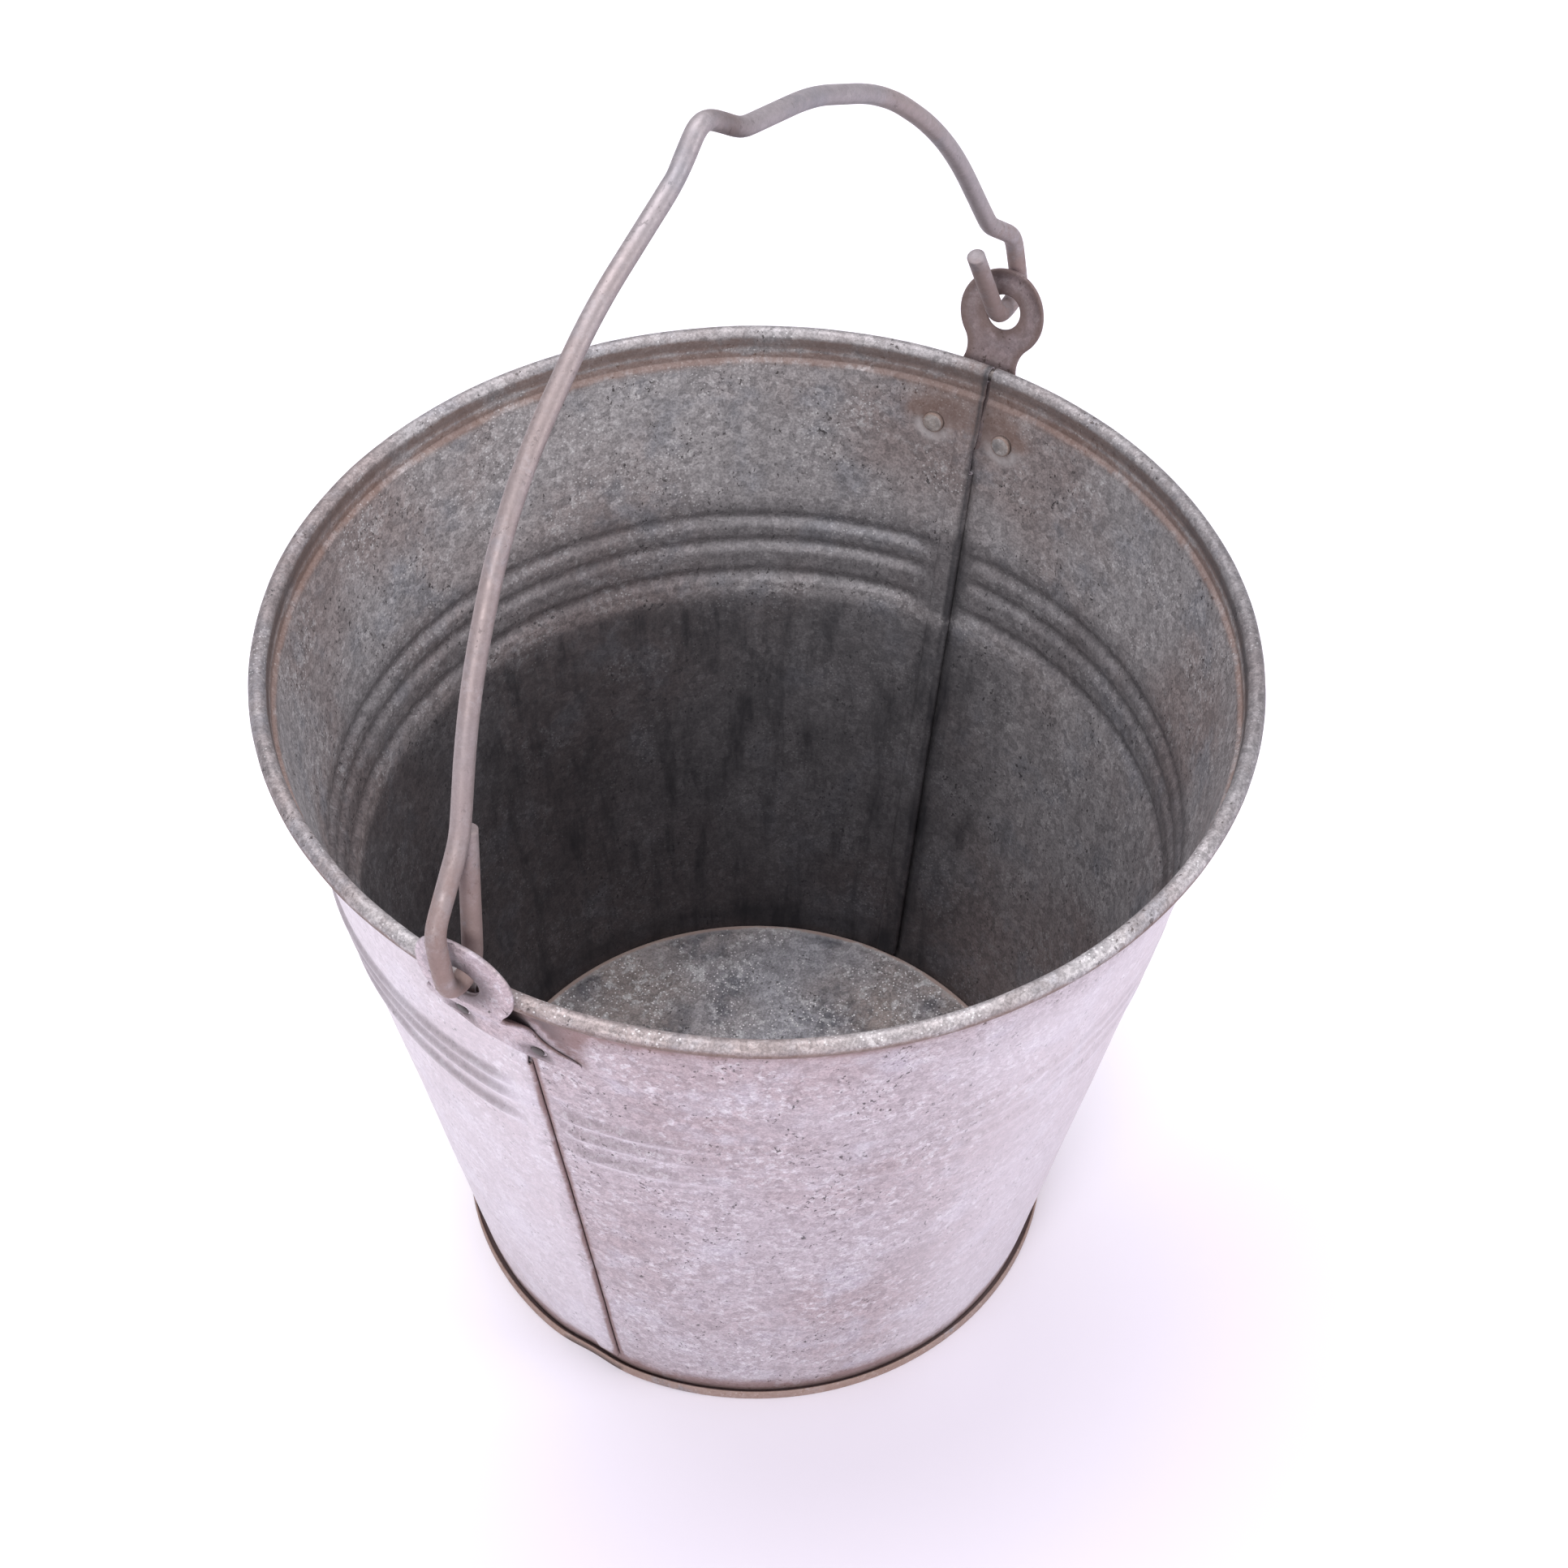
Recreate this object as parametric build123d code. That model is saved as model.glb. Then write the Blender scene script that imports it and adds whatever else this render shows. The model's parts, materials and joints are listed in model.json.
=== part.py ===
from build123d import *
from math import asin, atan, cos, degrees, radians, sin
import os

# Hot-dip galvanised steel pail with a bare wire bail.
# Millimetres, +Z up. The origin is the middle of the foot, on the surface that the pail stands on.
# The two ears and the hinge line of the bail run along X.

# ---------------------------------------------------------------- driving dimensions
RIM_RADIUS = 155.0          # outermost point of the rolled rim
HEIGHT = 262.5              # top of the rolled rim
SHEET = 0.6                 # body and bottom sheet, with its zinc

WALL_FOOT_RADIUS = 101.1    # outside of the wall at WALL_FOOT_Z
WALL_FOOT_Z = 4.5
WALL_TOP_RADIUS = 148.0     # outside of the wall where the neck under the rim begins
NECK_BOTTOM = HEIGHT - 11.4
NECK_LEDGE = 1.5            # height of the small step from wall to neck
NECK_STEP = 1.1             # how far the neck stands outside the wall

ROLL_RADIUS = 2.75          # outside of the curl round the rim wire
RIM_WIRE_RADIUS = 2.0
CURL_END = -140             # degrees round the curl, 180 is its inner side

RIB_HEIGHTS = (189.8, 179.8, 167.2)
RIB_HALF_WIDTH = 3.7
RIB_DEPTH = 1.2
RIB_CLEAR_ANGLE = 4.5       # degrees left plain on each side of a seam lock
RIB_END_WALL = 0.4          # degrees of metal that closes each rib's end
RIB_BACK = 0.3              # how far a rib's section is sunk into the wall's section

LOCK_ANGLE = 1.1            # middle of the lock seam, degrees past the ear axis
LOCK_WIDTH = 7.0
LOCK_PITCH = 0.7            # from one layer of the lock to the next
LOCK_BOTTOM = 9.5
LOCK_TOP = 222.8            # under the ears the sheets only butt
LOCK_SET = 2.4              # length of the joggle beside the lock
LOCK_RUN_IN = 0.4           # how far the joggle starts inside the plain sheet
SPLIT_GAP = 0.15            # half the gap where the two body sheets butt

FLOOR_TOP = 7.8             # inside floor above the ground
FOOT_RADIUS = 103.1
FOOT_LIP_TOP = 4.5
FOOT_FIT = 0.08             # air between the wall and the sheet folded round it

FLOOR_CORNER = 1.2          # how far the floor's underside is eased into its side

EAR_SHEET = 1.5
EAR_STAND_OFF = 0.05        # air between wall and ear
EAR_RIM_Z = 257.5           # here the ear passes the roll and starts to lean out
EAR_RIM_RADIUS = RIM_RADIUS + 0.2 + EAR_SHEET / 2
EAR_HOLE_RADIUS = 5.9
EAR_CORNER = 0.8            # rounding of the outline
EAR_TIP = (5.0, 7.5)        # the two heights of a wing's blunt end above the ear's lower edge
EAR_TAPER = 16.0            # how far the lower edge stops short of the wing's end

# The two ears are cut alike and were bent and set differently by hand.
EARS = {
    "right": {
        "facing": 0,
        "offset": 3.0,          # towards +Y
        "lean": 25.0,           # degrees, above the roll
        "bottom": 229.0,
        "bend": 243.0,          # the plate leaves the wall here to clear the roll
        "neck_z": 255.0,
        "neck_half": 9.0,
        "wing_half": 36.0,
        "skew": 0.0,            # rise of the wings per millimetre towards +Y
        "head_radius": 14.9,
        "hole_up": 19.5,        # along the plate from EAR_RIM_Z to the hole
        "rivet_z": (237.9, 237.9),
    },
    "left": {
        "facing": 180,
        "offset": 2.4,
        "lean": 5.0,
        "bottom": 224.0,
        "bend": 240.0,
        "neck_z": 252.5,
        "neck_half": 10.5,
        "wing_half": 26.5,
        "skew": 0.12,
        "head_radius": 16.3,
        "hole_up": 12.3,
        "rivet_z": (232.0, 228.4),
    },
}

RIVET_HALF_SPACING = 12.8
RIVET_SHANK = 2.0
RIVET_HEAD = 3.6
RIVET_HEAD_THICK = 1.8
RIVET_HEAD_ROUND = 0.6
RIVET_UPSET = 3.0
RIVET_UPSET_THICK = 0.7
RIVET_FIT = 0.1

BAIL_RADIUS = 3.0
HINGE_Y = 3.0
HINGE_Z = 271.63            # of the hinge line where it crosses the middle of the pail
HINGE_RISE = 1.32           # degrees that the hinge line climbs towards +X
BAIL_TILT = 7.0             # degrees that the standing bail leans towards +Y

# Corners of the bail in its own plane: along X, up from the hinge, and the bend radius.
BAIL_CORNERS = [
    (-139.6, 44.9, 0),      # free end inside the left ear
    (-150.8, 0, 5.5),
    (-163.3, 0, 5.5),
    (-162.3, 24.8, 9),      # joggle outside the left ear
    (-143.5, 44.4, 22),
    (-127.1, 83.6, 180),
    (-96, 126, 120),
    (-48.1, 152.3, 130),
    (-1.2, 165.3, 50),
    (13.1, 175.1, 7),       # kink that keeps the hand in the middle
    (31.2, 159.6, 10),
    (67.1, 147.1, 105),
    (105.2, 123.8, 125),
    (138.2, 86.6, 160),
    (159.4, 38.3, 9),       # joggle outside the right ear
    (174.3, 24.1, 9),
    (176.1, 0, 5.5),
    (160.3, 0, 5.5),
    (149.5, 32.9, 0),       # free end inside the right ear
]

# ---------------------------------------------------------------- worked-out dimensions
WALL_SLOPE = (WALL_TOP_RADIUS - WALL_FOOT_RADIUS) / (NECK_BOTTOM - WALL_FOOT_Z)
WALL_ANGLE = degrees(atan(WALL_SLOPE))
ROLL_CENTRE = RIM_RADIUS - ROLL_RADIUS
ROLL_Z = HEIGHT - ROLL_RADIUS
RADIAL_SHEET = SHEET / cos(radians(WALL_ANGLE))
NECK_RADIUS = WALL_TOP_RADIUS + NECK_STEP + NECK_LEDGE * WALL_SLOPE


def wall_radius(z):
    """Outside radius of the plain wall at a height."""
    return WALL_FOOT_RADIUS + WALL_SLOPE * (z - WALL_FOOT_Z)


def on_profile(radius, height):
    """A point of a half section, drawn in the XZ plane."""
    return Vector(radius, 0, height)


def closed_face(*curves):
    """The face inside curves that meet end to end."""
    return make_face([edge for curve in curves for edge in curve.edges()])


def strip_face(points, width, normal):
    """A bent strip of even width round a middle line of straight runs in one plane."""
    runs = [(b - a).normalized() for a, b in zip(points[:-1], points[1:])]
    sides = [normal.cross(run) for run in runs]
    upper = [points[0] + sides[0] * (width / 2)]
    lower = [points[0] - sides[0] * (width / 2)]
    for point, before, after in zip(points[1:-1], sides[:-1], sides[1:]):
        mitre = (before + after).normalized()
        reach = width / 2 / mitre.dot(after)
        upper.append(point + mitre * reach)
        lower.append(point - mitre * reach)
    upper.append(points[-1] + sides[-1] * (width / 2))
    lower.append(points[-1] - sides[-1] * (width / 2))
    return closed_face(Polyline(*upper, *reversed(lower), close=True))


def sector(face, start, end):
    """Revolve a half section from one angle to another round Z."""
    return revolve(face, Axis.Z, end - start).rotate(Axis.Z, start)


# ---------------------------------------------------------------- body sheets
def roll_point(radius, angle):
    return on_profile(
        ROLL_CENTRE + radius * cos(radians(angle)),
        ROLL_Z + radius * sin(radians(angle)),
    )


def body_section():
    """Half section of the wall, from the flange in the foot to the curl round the rim wire."""
    flange_bottom = SHEET + FOOT_FIT
    flange_top = flange_bottom + SHEET
    flange_edge = FOOT_RADIUS - SHEET - FOOT_FIT
    bottom_out = wall_radius(flange_top)
    bottom_in = wall_radius(flange_bottom) - RADIAL_SHEET
    ledge_top = NECK_BOTTOM + NECK_LEDGE
    curl_inner = ROLL_RADIUS - SHEET
    return closed_face(
        Polyline(
            roll_point(ROLL_RADIUS, 180),
            on_profile(NECK_RADIUS - SHEET, ledge_top),
            on_profile(WALL_TOP_RADIUS - RADIAL_SHEET, NECK_BOTTOM),
            on_profile(bottom_in, flange_bottom),
            on_profile(flange_edge, flange_bottom),
            on_profile(flange_edge, flange_top),
            on_profile(bottom_out, flange_top),
            on_profile(WALL_TOP_RADIUS, NECK_BOTTOM),
            on_profile(NECK_RADIUS, ledge_top),
            roll_point(curl_inner, 180),
        ),
        ThreePointArc(
            roll_point(curl_inner, 180),
            roll_point(curl_inner, 20),
            roll_point(curl_inner, CURL_END),
        ),
        Line(roll_point(curl_inner, CURL_END), roll_point(ROLL_RADIUS, CURL_END)),
        ThreePointArc(
            roll_point(ROLL_RADIUS, CURL_END),
            roll_point(ROLL_RADIUS, 20),
            roll_point(ROLL_RADIUS, 180),
        ),
    )


def rib_lens(centre_z, wall_offset, half_width, depth):
    """Lens between the wall line, moved in by wall_offset, and an arc that bulges outward."""
    low = centre_z - half_width
    high = centre_z + half_width
    foot = on_profile(wall_radius(low) - wall_offset, low)
    head = on_profile(wall_radius(high) - wall_offset, high)
    crown = on_profile(wall_radius(centre_z) + depth, centre_z)
    foot_back = foot - Vector(RIB_BACK, 0, 0)
    head_back = head - Vector(RIB_BACK, 0, 0)
    return closed_face(
        ThreePointArc(foot, crown, head),
        Polyline(head, head_back, foot_back, foot),
    )


def lock_hook(angle, side):
    """One sheet's hook in a lock seam.

    side +1 is the sheet that comes from lower angles and ends in the outer fold,
    side -1 is the sheet that comes from higher angles and ends in the inner fold.
    """
    half = LOCK_WIDTH / 2
    outer = 1.5 * LOCK_PITCH
    inner = 0.5 * LOCK_PITCH
    reach = half - SHEET / 2
    back = half - LOCK_PITCH - SHEET
    middle = -SHEET / 2
    points = [
        (-half - LOCK_SET - LOCK_RUN_IN, 0),
        (-half - LOCK_SET, 0),
        (-half, outer),
        (reach, outer),
        (reach, -inner),
        (-back, -inner),
    ]
    start = wall_radius(LOCK_BOTTOM)
    rise = LOCK_TOP - LOCK_BOTTOM
    along = Vector(WALL_SLOPE * rise, 0, rise)
    path = [Vector(start + middle + side * n, side * s, LOCK_BOTTOM) for s, n in points]
    strip = strip_face(path, SHEET, Vector(0, 0, 1))
    hook = extrude(strip, amount=along.length, dir=along)
    return hook.rotate(Axis.Z, angle)


def body_sheet(start):
    """Half of the wall, from one lock seam to the next."""
    end = start + 180
    section = body_section()
    gap = degrees(asin(SPLIT_GAP / RIM_RADIUS))
    sheet = sector(section, start + gap, end - gap)
    lock_angles = degrees(LOCK_WIDTH / 2 / wall_radius(RIB_HEIGHTS[1]))
    first = start + LOCK_ANGLE + lock_angles + RIB_CLEAR_ANGLE
    last = end + LOCK_ANGLE - lock_angles - RIB_CLEAR_ANGLE
    for z in RIB_HEIGHTS:
        bulge = rib_lens(z, 0, RIB_HALF_WIDTH + SHEET / 2, RIB_DEPTH)
        hollow = rib_lens(z, RADIAL_SHEET, RIB_HALF_WIDTH - SHEET / 2, RIB_DEPTH - SHEET)
        sheet = sheet + sector(bulge, first - RIB_END_WALL, last + RIB_END_WALL)
        sheet = sheet - sector(hollow, first, last)
    for angle, side in ((start + LOCK_ANGLE, -1), (end + LOCK_ANGLE, 1)):
        room = Box(WALL_TOP_RADIUS, LOCK_WIDTH + 2 * LOCK_SET, LOCK_TOP - LOCK_BOTTOM)
        room = Pos(WALL_TOP_RADIUS, 0, (LOCK_TOP + LOCK_BOTTOM) / 2) * room
        sheet = sheet - room.rotate(Axis.Z, angle)
        sheet = sheet + lock_hook(angle, side)
    return sheet


# ---------------------------------------------------------------- rim wire and bottom
def rim_wire():
    """The wire that the top edge of the body is curled round."""
    return Pos(0, 0, ROLL_Z) * Torus(ROLL_CENTRE, RIM_WIRE_RADIUS)


def bottom_plate():
    """The raised floor, its down-turned side and the foot lip folded round the body's flange."""
    inset = RADIAL_SHEET + FOOT_FIT
    floor_corner = wall_radius(FLOOR_TOP) - inset
    side_bottom = wall_radius(0) - inset
    lip_in = FOOT_RADIUS - SHEET
    section = make_face(
        Polyline(
            on_profile(0, FLOOR_TOP),
            on_profile(floor_corner, FLOOR_TOP),
            on_profile(side_bottom + WALL_SLOPE * SHEET, SHEET),
            on_profile(lip_in, SHEET),
            on_profile(lip_in, FOOT_LIP_TOP),
            on_profile(FOOT_RADIUS, FOOT_LIP_TOP),
            on_profile(FOOT_RADIUS, 0),
            on_profile(side_bottom - RADIAL_SHEET, 0),
            on_profile(floor_corner - RADIAL_SHEET - FLOOR_CORNER * WALL_SLOPE, FLOOR_TOP - SHEET),
            on_profile(0, FLOOR_TOP - SHEET),
            close=True,
        )
    )
    return revolve(section, Axis.Z, 360)


# ---------------------------------------------------------------- ears
def ear_profile(shape):
    """Middle line of the ear plate, seen from the side, as (radius, height) points."""
    past = 3.0
    lean = radians(shape["lean"])
    stand_off = EAR_SHEET / 2 / cos(radians(WALL_ANGLE)) + EAR_STAND_OFF
    lowest = shape["bottom"] - shape["skew"] * shape["wing_half"] - past
    over_head = shape["hole_up"] + shape["head_radius"] + past
    return [
        (wall_radius(lowest) + stand_off, lowest),
        (wall_radius(shape["bend"]) + stand_off, shape["bend"]),
        (EAR_RIM_RADIUS, EAR_RIM_Z),
        (EAR_RIM_RADIUS + over_head * sin(lean), EAR_RIM_Z + over_head * cos(lean)),
    ]


def hole_centre(shape):
    """Radius and height of the middle of the hinge hole."""
    lean = radians(shape["lean"])
    return (
        EAR_RIM_RADIUS + shape["hole_up"] * sin(lean),
        EAR_RIM_Z + shape["hole_up"] * cos(lean),
    )


def ear_outline(shape):
    """Front view of the ear: wings under the roll, a neck past it, and a round head."""
    squeeze = cos(radians(shape["lean"]))
    bottom = shape["bottom"]
    head_radius = shape["head_radius"]
    shoulder_z = EAR_RIM_Z + (shape["hole_up"] - head_radius * 0.75) * squeeze
    shoulder = shape["neck_half"] + 1.6
    wing = shape["wing_half"]
    half = [
        (wing - EAR_TAPER, bottom),
        (wing, bottom + EAR_TIP[0]),
        (wing, bottom + EAR_TIP[1]),
        (shape["neck_half"] + 2, shape["neck_z"]),
        (shape["neck_half"], shape["neck_z"] + 5.5),
        (shoulder, max(shoulder_z, shape["neck_z"] + 7)),
    ]
    both = half + [(-y, z) for y, z in reversed(half)]
    skewed = [(y, z + shape["skew"] * y * (z < shape["neck_z"])) for y, z in both]
    plate = make_face(FilletPolyline(*skewed, radius=EAR_CORNER, close=True))
    head = Pos(0, hole_centre(shape)[1]) * Ellipse(head_radius, head_radius * squeeze)
    return plate + head


def ear(shape):
    """A stamped ear: bent plate, cut to its outline, with its hinge and rivet holes."""
    through = 30
    radius, hole_z = hole_centre(shape)
    middle = [Vector(r, 0, z) for r, z in ear_profile(shape)]
    strip = strip_face(middle, EAR_SHEET, Vector(0, 1, 0))
    turn = degrees(asin(shape["offset"] / radius))
    half_turn = degrees(asin(shape["wing_half"] / WALL_TOP_RADIUS)) + 1
    plate = sector(strip, -half_turn, half_turn)
    mirrored = -1 if shape["facing"] else 1
    outline = Plane.YZ * ear_outline(dict(shape, skew=shape["skew"] * mirrored))
    plate = plate & extrude(outline, amount=RIM_RADIUS + 60, dir=(1, 0, 0))
    hinge_hole = Cylinder(EAR_HOLE_RADIUS, through, rotation=(0, 90 + shape["lean"], 0))
    plate = plate - Pos(radius, 0, hole_z) * hinge_hole
    plate = plate.rotate(Axis.Z, turn if shape["facing"] == 0 else 180 - turn)
    up = (Align.CENTER, Align.CENTER, Align.MIN)
    floor = EAR_SHEET - RIVET_UPSET_THICK - RIVET_FIT
    for place in rivet_places(shape):
        plate = plate - place * Cylinder(RIVET_SHANK + RIVET_FIT, through)
        plate = plate - place * Pos(0, 0, floor) * Cylinder(RIVET_UPSET + RIVET_FIT, 4, align=up)
    return plate


# ---------------------------------------------------------------- rivets
def rivet_places(shape):
    """Frames on the outside of the wall, Z outward along each rivet of one ear."""
    places = []
    for z, side in zip(shape["rivet_z"], (-1, 1)):
        radius = wall_radius(z)
        offset = degrees(asin(shape["offset"] / radius))
        middle = offset if shape["facing"] == 0 else 180 - offset
        angle = middle + side * degrees(asin(RIVET_HALF_SPACING / radius))
        frame = Rot(0, 0, angle) * Pos(radius, 0, z) * Rot(0, 90 + WALL_ANGLE, 0)
        places.append(frame)
    return places


def rivet(place):
    """Flat round head inside the pail, shank through wall and ear, small upset end outside."""
    down = (Align.CENTER, Align.CENTER, Align.MAX)
    up = (Align.CENTER, Align.CENTER, Align.MIN)
    inside = -SHEET - RIVET_FIT / 2
    top = EAR_SHEET - RIVET_FIT
    overlap = 0.5
    head = Pos(0, 0, inside) * Cylinder(RIVET_HEAD, RIVET_HEAD_THICK, align=down)
    head = fillet(head.edges().sort_by(Axis.Z)[0], RIVET_HEAD_ROUND)
    shank = Cylinder(RIVET_SHANK, top - inside + overlap, align=up)
    shank = Pos(0, 0, inside - overlap) * shank
    upset = Pos(0, 0, top - RIVET_UPSET_THICK) * Cylinder(RIVET_UPSET, RIVET_UPSET_THICK, align=up)
    return place * (head + shank + upset)


def drill(sheet):
    """The rivet holes through a body sheet."""
    for shape in EARS.values():
        for place in rivet_places(shape):
            sheet = sheet - place * Cylinder(RIVET_SHANK + RIVET_FIT, 12)
    return sheet


# ---------------------------------------------------------------- bail
def bail():
    """Wire bail: an arch with a kink for the hand, joggled out past each ear and hooked in."""
    corners = [(u, v) for u, v, r in BAIL_CORNERS]
    radii = [r for u, v, r in BAIL_CORNERS[1:-1]]
    lean = radians(BAIL_TILT)
    plane = Plane(origin=(0, 0, 0), x_dir=(1, 0, 0), z_dir=(0, -cos(lean), sin(lean)))
    path = plane * FilletPolyline(*corners, radius=radii)
    start = Plane(origin=path @ 0, z_dir=path % 0)
    wire = sweep(start * Circle(BAIL_RADIUS), path=path)
    return Pos(0, HINGE_Y, HINGE_Z) * wire.rotate(Axis.Y, -HINGE_RISE)


# ---------------------------------------------------------------- write the nodes
def main():
    os.makedirs("parts", exist_ok=True)
    nodes = {
        "body_sheet_back": drill(body_sheet(0)),
        "body_sheet_front": drill(body_sheet(180)),
        "rim_wire": rim_wire(),
        "bottom_plate": bottom_plate(),
        "bail": bail(),
    }
    for side, shape in EARS.items():
        nodes[f"ear_{side}"] = ear(shape)
        for number, place in enumerate(rivet_places(shape), 1):
            nodes[f"rivet_{side}_{number}"] = rivet(place)
    for name, shape in nodes.items():
        export_step(shape, f"parts/{name}.step")


main()
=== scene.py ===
import json
import math
import bpy
import numpy as np
from mathutils import Matrix, Vector, noise
from mathutils.geometry import delaunay_2d_cdt


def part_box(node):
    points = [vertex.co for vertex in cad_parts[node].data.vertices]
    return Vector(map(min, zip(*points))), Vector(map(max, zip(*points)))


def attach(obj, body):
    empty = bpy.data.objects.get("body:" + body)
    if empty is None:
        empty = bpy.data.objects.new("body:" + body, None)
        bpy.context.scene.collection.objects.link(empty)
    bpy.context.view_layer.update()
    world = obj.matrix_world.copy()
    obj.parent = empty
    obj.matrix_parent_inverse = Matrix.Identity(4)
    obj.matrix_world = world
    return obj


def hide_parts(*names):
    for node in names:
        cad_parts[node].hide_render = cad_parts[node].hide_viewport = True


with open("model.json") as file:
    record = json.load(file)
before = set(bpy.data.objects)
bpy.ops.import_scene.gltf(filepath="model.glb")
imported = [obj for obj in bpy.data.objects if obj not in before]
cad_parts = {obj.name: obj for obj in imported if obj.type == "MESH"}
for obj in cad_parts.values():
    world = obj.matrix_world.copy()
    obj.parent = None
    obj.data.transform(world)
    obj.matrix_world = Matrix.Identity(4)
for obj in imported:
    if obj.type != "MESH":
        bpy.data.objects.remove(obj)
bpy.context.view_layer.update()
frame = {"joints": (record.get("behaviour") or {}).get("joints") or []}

# Looks of a hot-dip galvanised pail. Metres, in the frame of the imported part: the foot stands on Z = 0,
# the ears and the hinge line of the bail run along X. Angles go round Z from +X, in degrees.
# Each half of the body is the outer layer where its lock seam ends at a higher angle.

# ---- sizes from the frame
MM = 0.001
RIM_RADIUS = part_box("body_sheet_back")[1].y
RIM_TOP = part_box("body_sheet_back")[1].z
FOOT_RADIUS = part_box("bottom_plate")[1].y
FLOOR_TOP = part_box("bottom_plate")[1].z
HINGE = np.array(frame["joints"][0]["pos_m"])
HINGE_LINE = np.array(frame["joints"][0]["axis"])

# ---- sheet metal
SHEET = 0.6 * MM
WALL_FOOT_Z = 4.5 * MM
WALL_FOOT_RADIUS = FOOT_RADIUS - 2.0 * MM
WALL_TOP_RADIUS = RIM_RADIUS - 7.0 * MM
NECK_BOTTOM = RIM_TOP - 11.4 * MM
NECK_LEDGE = 1.5 * MM
NECK_STEP = 1.1 * MM
ROLL_RADIUS = 2.75 * MM
ROLL_CENTRE = RIM_RADIUS - ROLL_RADIUS
ROLL_Z = RIM_TOP - ROLL_RADIUS
CURL_END = -140
RIM_WIRE_RADIUS = 2.0 * MM
WALL_SLOPE = (WALL_TOP_RADIUS - WALL_FOOT_RADIUS) / (NECK_BOTTOM - WALL_FOOT_Z)
WALL_ANGLE = math.atan(WALL_SLOPE)
FLANGE_Z = 1.0 * MM
FLANGE_EDGE = FOOT_RADIUS - 0.7 * MM

RIB_HEIGHTS = (189.8 * MM, 179.8 * MM, 167.2 * MM)
RIB_HALF_WIDTH = 4.0 * MM
RIB_DEPTH = 1.45 * MM
RIB_START = 1 * MM
RIB_FADE = 9 * MM           # the ribs run out over this length beside a seam
RIB_LIFT = 7 * MM           # they climb this much towards the left end of the back half

LOCK_ANGLE = 1.1
LOCK_HALF = 2.8 * MM        # flat part of the lock, each way from its middle
LOCK_FOLD = 0.7 * MM        # radius of the folded edge
LOCK_RISE = 1.05 * MM
LOCK_REACH = 5.9 * MM       # where the joggle beside the lock begins
LOCK_CREASE = 4.7 * MM      # the inner layer is back at the wall's line here
LOCK_BOTTOM = 9.0 * MM
LOCK_TOP = {0: 224 * MM, 180: 218 * MM}    # of the right and the left seam
KINK_Z = 232 * MM
FOOT_DENT = 177.0           # painted shade on the roll grows away from this side, the one nearest the camera
ROLL_LIT_SIDE = 215            # the roll is cleanest on this side

RING_STEPS = 240            # sections of the floor pan and of the rim wire, all the way round
RIVET_HALF_SPACING = 12.8 * MM
RIVET_HOLLOW = 0.45 * MM    # the wall is pressed out this far behind each rivet
# For each ear: how far it sits towards +Y, and the heights of its two rivets.
EAR_OFFSET = {0: 3.0 * MM, 180: 2.4 * MM}
RIVET_HEIGHTS = {0: (237.9 * MM, 237.9 * MM), 180: (232.0 * MM, 228.4 * MM)}


def smooth(x):
    """0 below 0, 1 above 1 and an even S between them."""
    t = np.clip(x, 0.0, 1.0)
    return t * t * (3 - 2 * t)


def climb(x, start, run):
    """0 up to a start in millimetres, then rising to 1 over a run in millimetres."""
    return smooth((x - start * MM) / (run * MM))


def fade(x, run):
    """1 up to 0, then falling to 0 over a run in millimetres."""
    return smooth(1 - x / (run * MM))


def bell(x, width):
    """1 at 0, falling evenly to almost nothing at twice the width."""
    return np.exp(-((x / width) ** 2))


def around(radius, turn, height):
    """Points at those distances from the Z axis, directions in radians and heights."""
    return np.stack([radius * np.cos(turn), radius * np.sin(turn), height], axis=-1)


def wall_radius(z):
    """Outside radius of the plain wall."""
    return WALL_FOOT_RADIUS + WALL_SLOPE * (z - WALL_FOOT_Z)


def wobble(points, size, seed):
    """Smooth noise from -1 to 1 at each point, with features of that size."""
    offset = Vector((seed * 7.1, seed * 3.7, seed * 1.9))
    return np.array([noise.noise(Vector(p) / size + offset) for p in points])


# ---- helpers for pieces
def add_mesh(name, vertices, faces):
    """A new piece in the scene."""
    mesh = bpy.data.meshes.new(name)
    mesh.from_pydata([tuple(v) for v in vertices], [], [tuple(f) for f in faces])
    mesh.validate()
    piece = bpy.data.objects.new(name, mesh)
    bpy.context.scene.collection.objects.link(piece)
    return piece


def set_attribute(piece, name, values):
    """A share from 0 to 1 for each vertex, which the materials read by its name."""
    layer = piece.data.attributes.new(name, "FLOAT", "POINT")
    layer.data.foreach_set("value", np.asarray(np.clip(values, 0, 1), np.float32))


def bake_modifiers(piece, sharp=40):
    """Applies the piece's modifiers, then shades it smooth apart from its real edges."""
    evaluated = piece.evaluated_get(bpy.context.evaluated_depsgraph_get())
    mesh = bpy.data.meshes.new_from_object(evaluated)
    piece.modifiers.clear()
    piece.data = mesh
    mesh.shade_smooth()
    mesh.set_sharp_from_angle(angle=math.radians(sharp))


def grid_faces(rows, columns, closed=False):
    """Quads of a grid whose vertices are numbered row by row."""
    faces = []
    last = columns if closed else columns - 1
    for row in range(rows - 1):
        for column in range(last):
            after = (column + 1) % columns
            faces.append((
                row * columns + column,
                row * columns + after,
                (row + 1) * columns + after,
                (row + 1) * columns + column,
            ))
    return faces


def dress(piece, material, sharp):
    """One material, smooth shading, and hard edges where the surface turns by more degrees than that."""
    piece.data.materials.append(material)
    piece.data.shade_smooth()
    piece.data.set_sharp_from_angle(angle=math.radians(sharp))


def finish_piece(piece, body, slot, *nodes):
    """The body that the piece moves with and the nodes that it stands for; slot is not used."""
    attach(piece, body)
    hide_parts(*nodes)
    return piece


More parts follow.
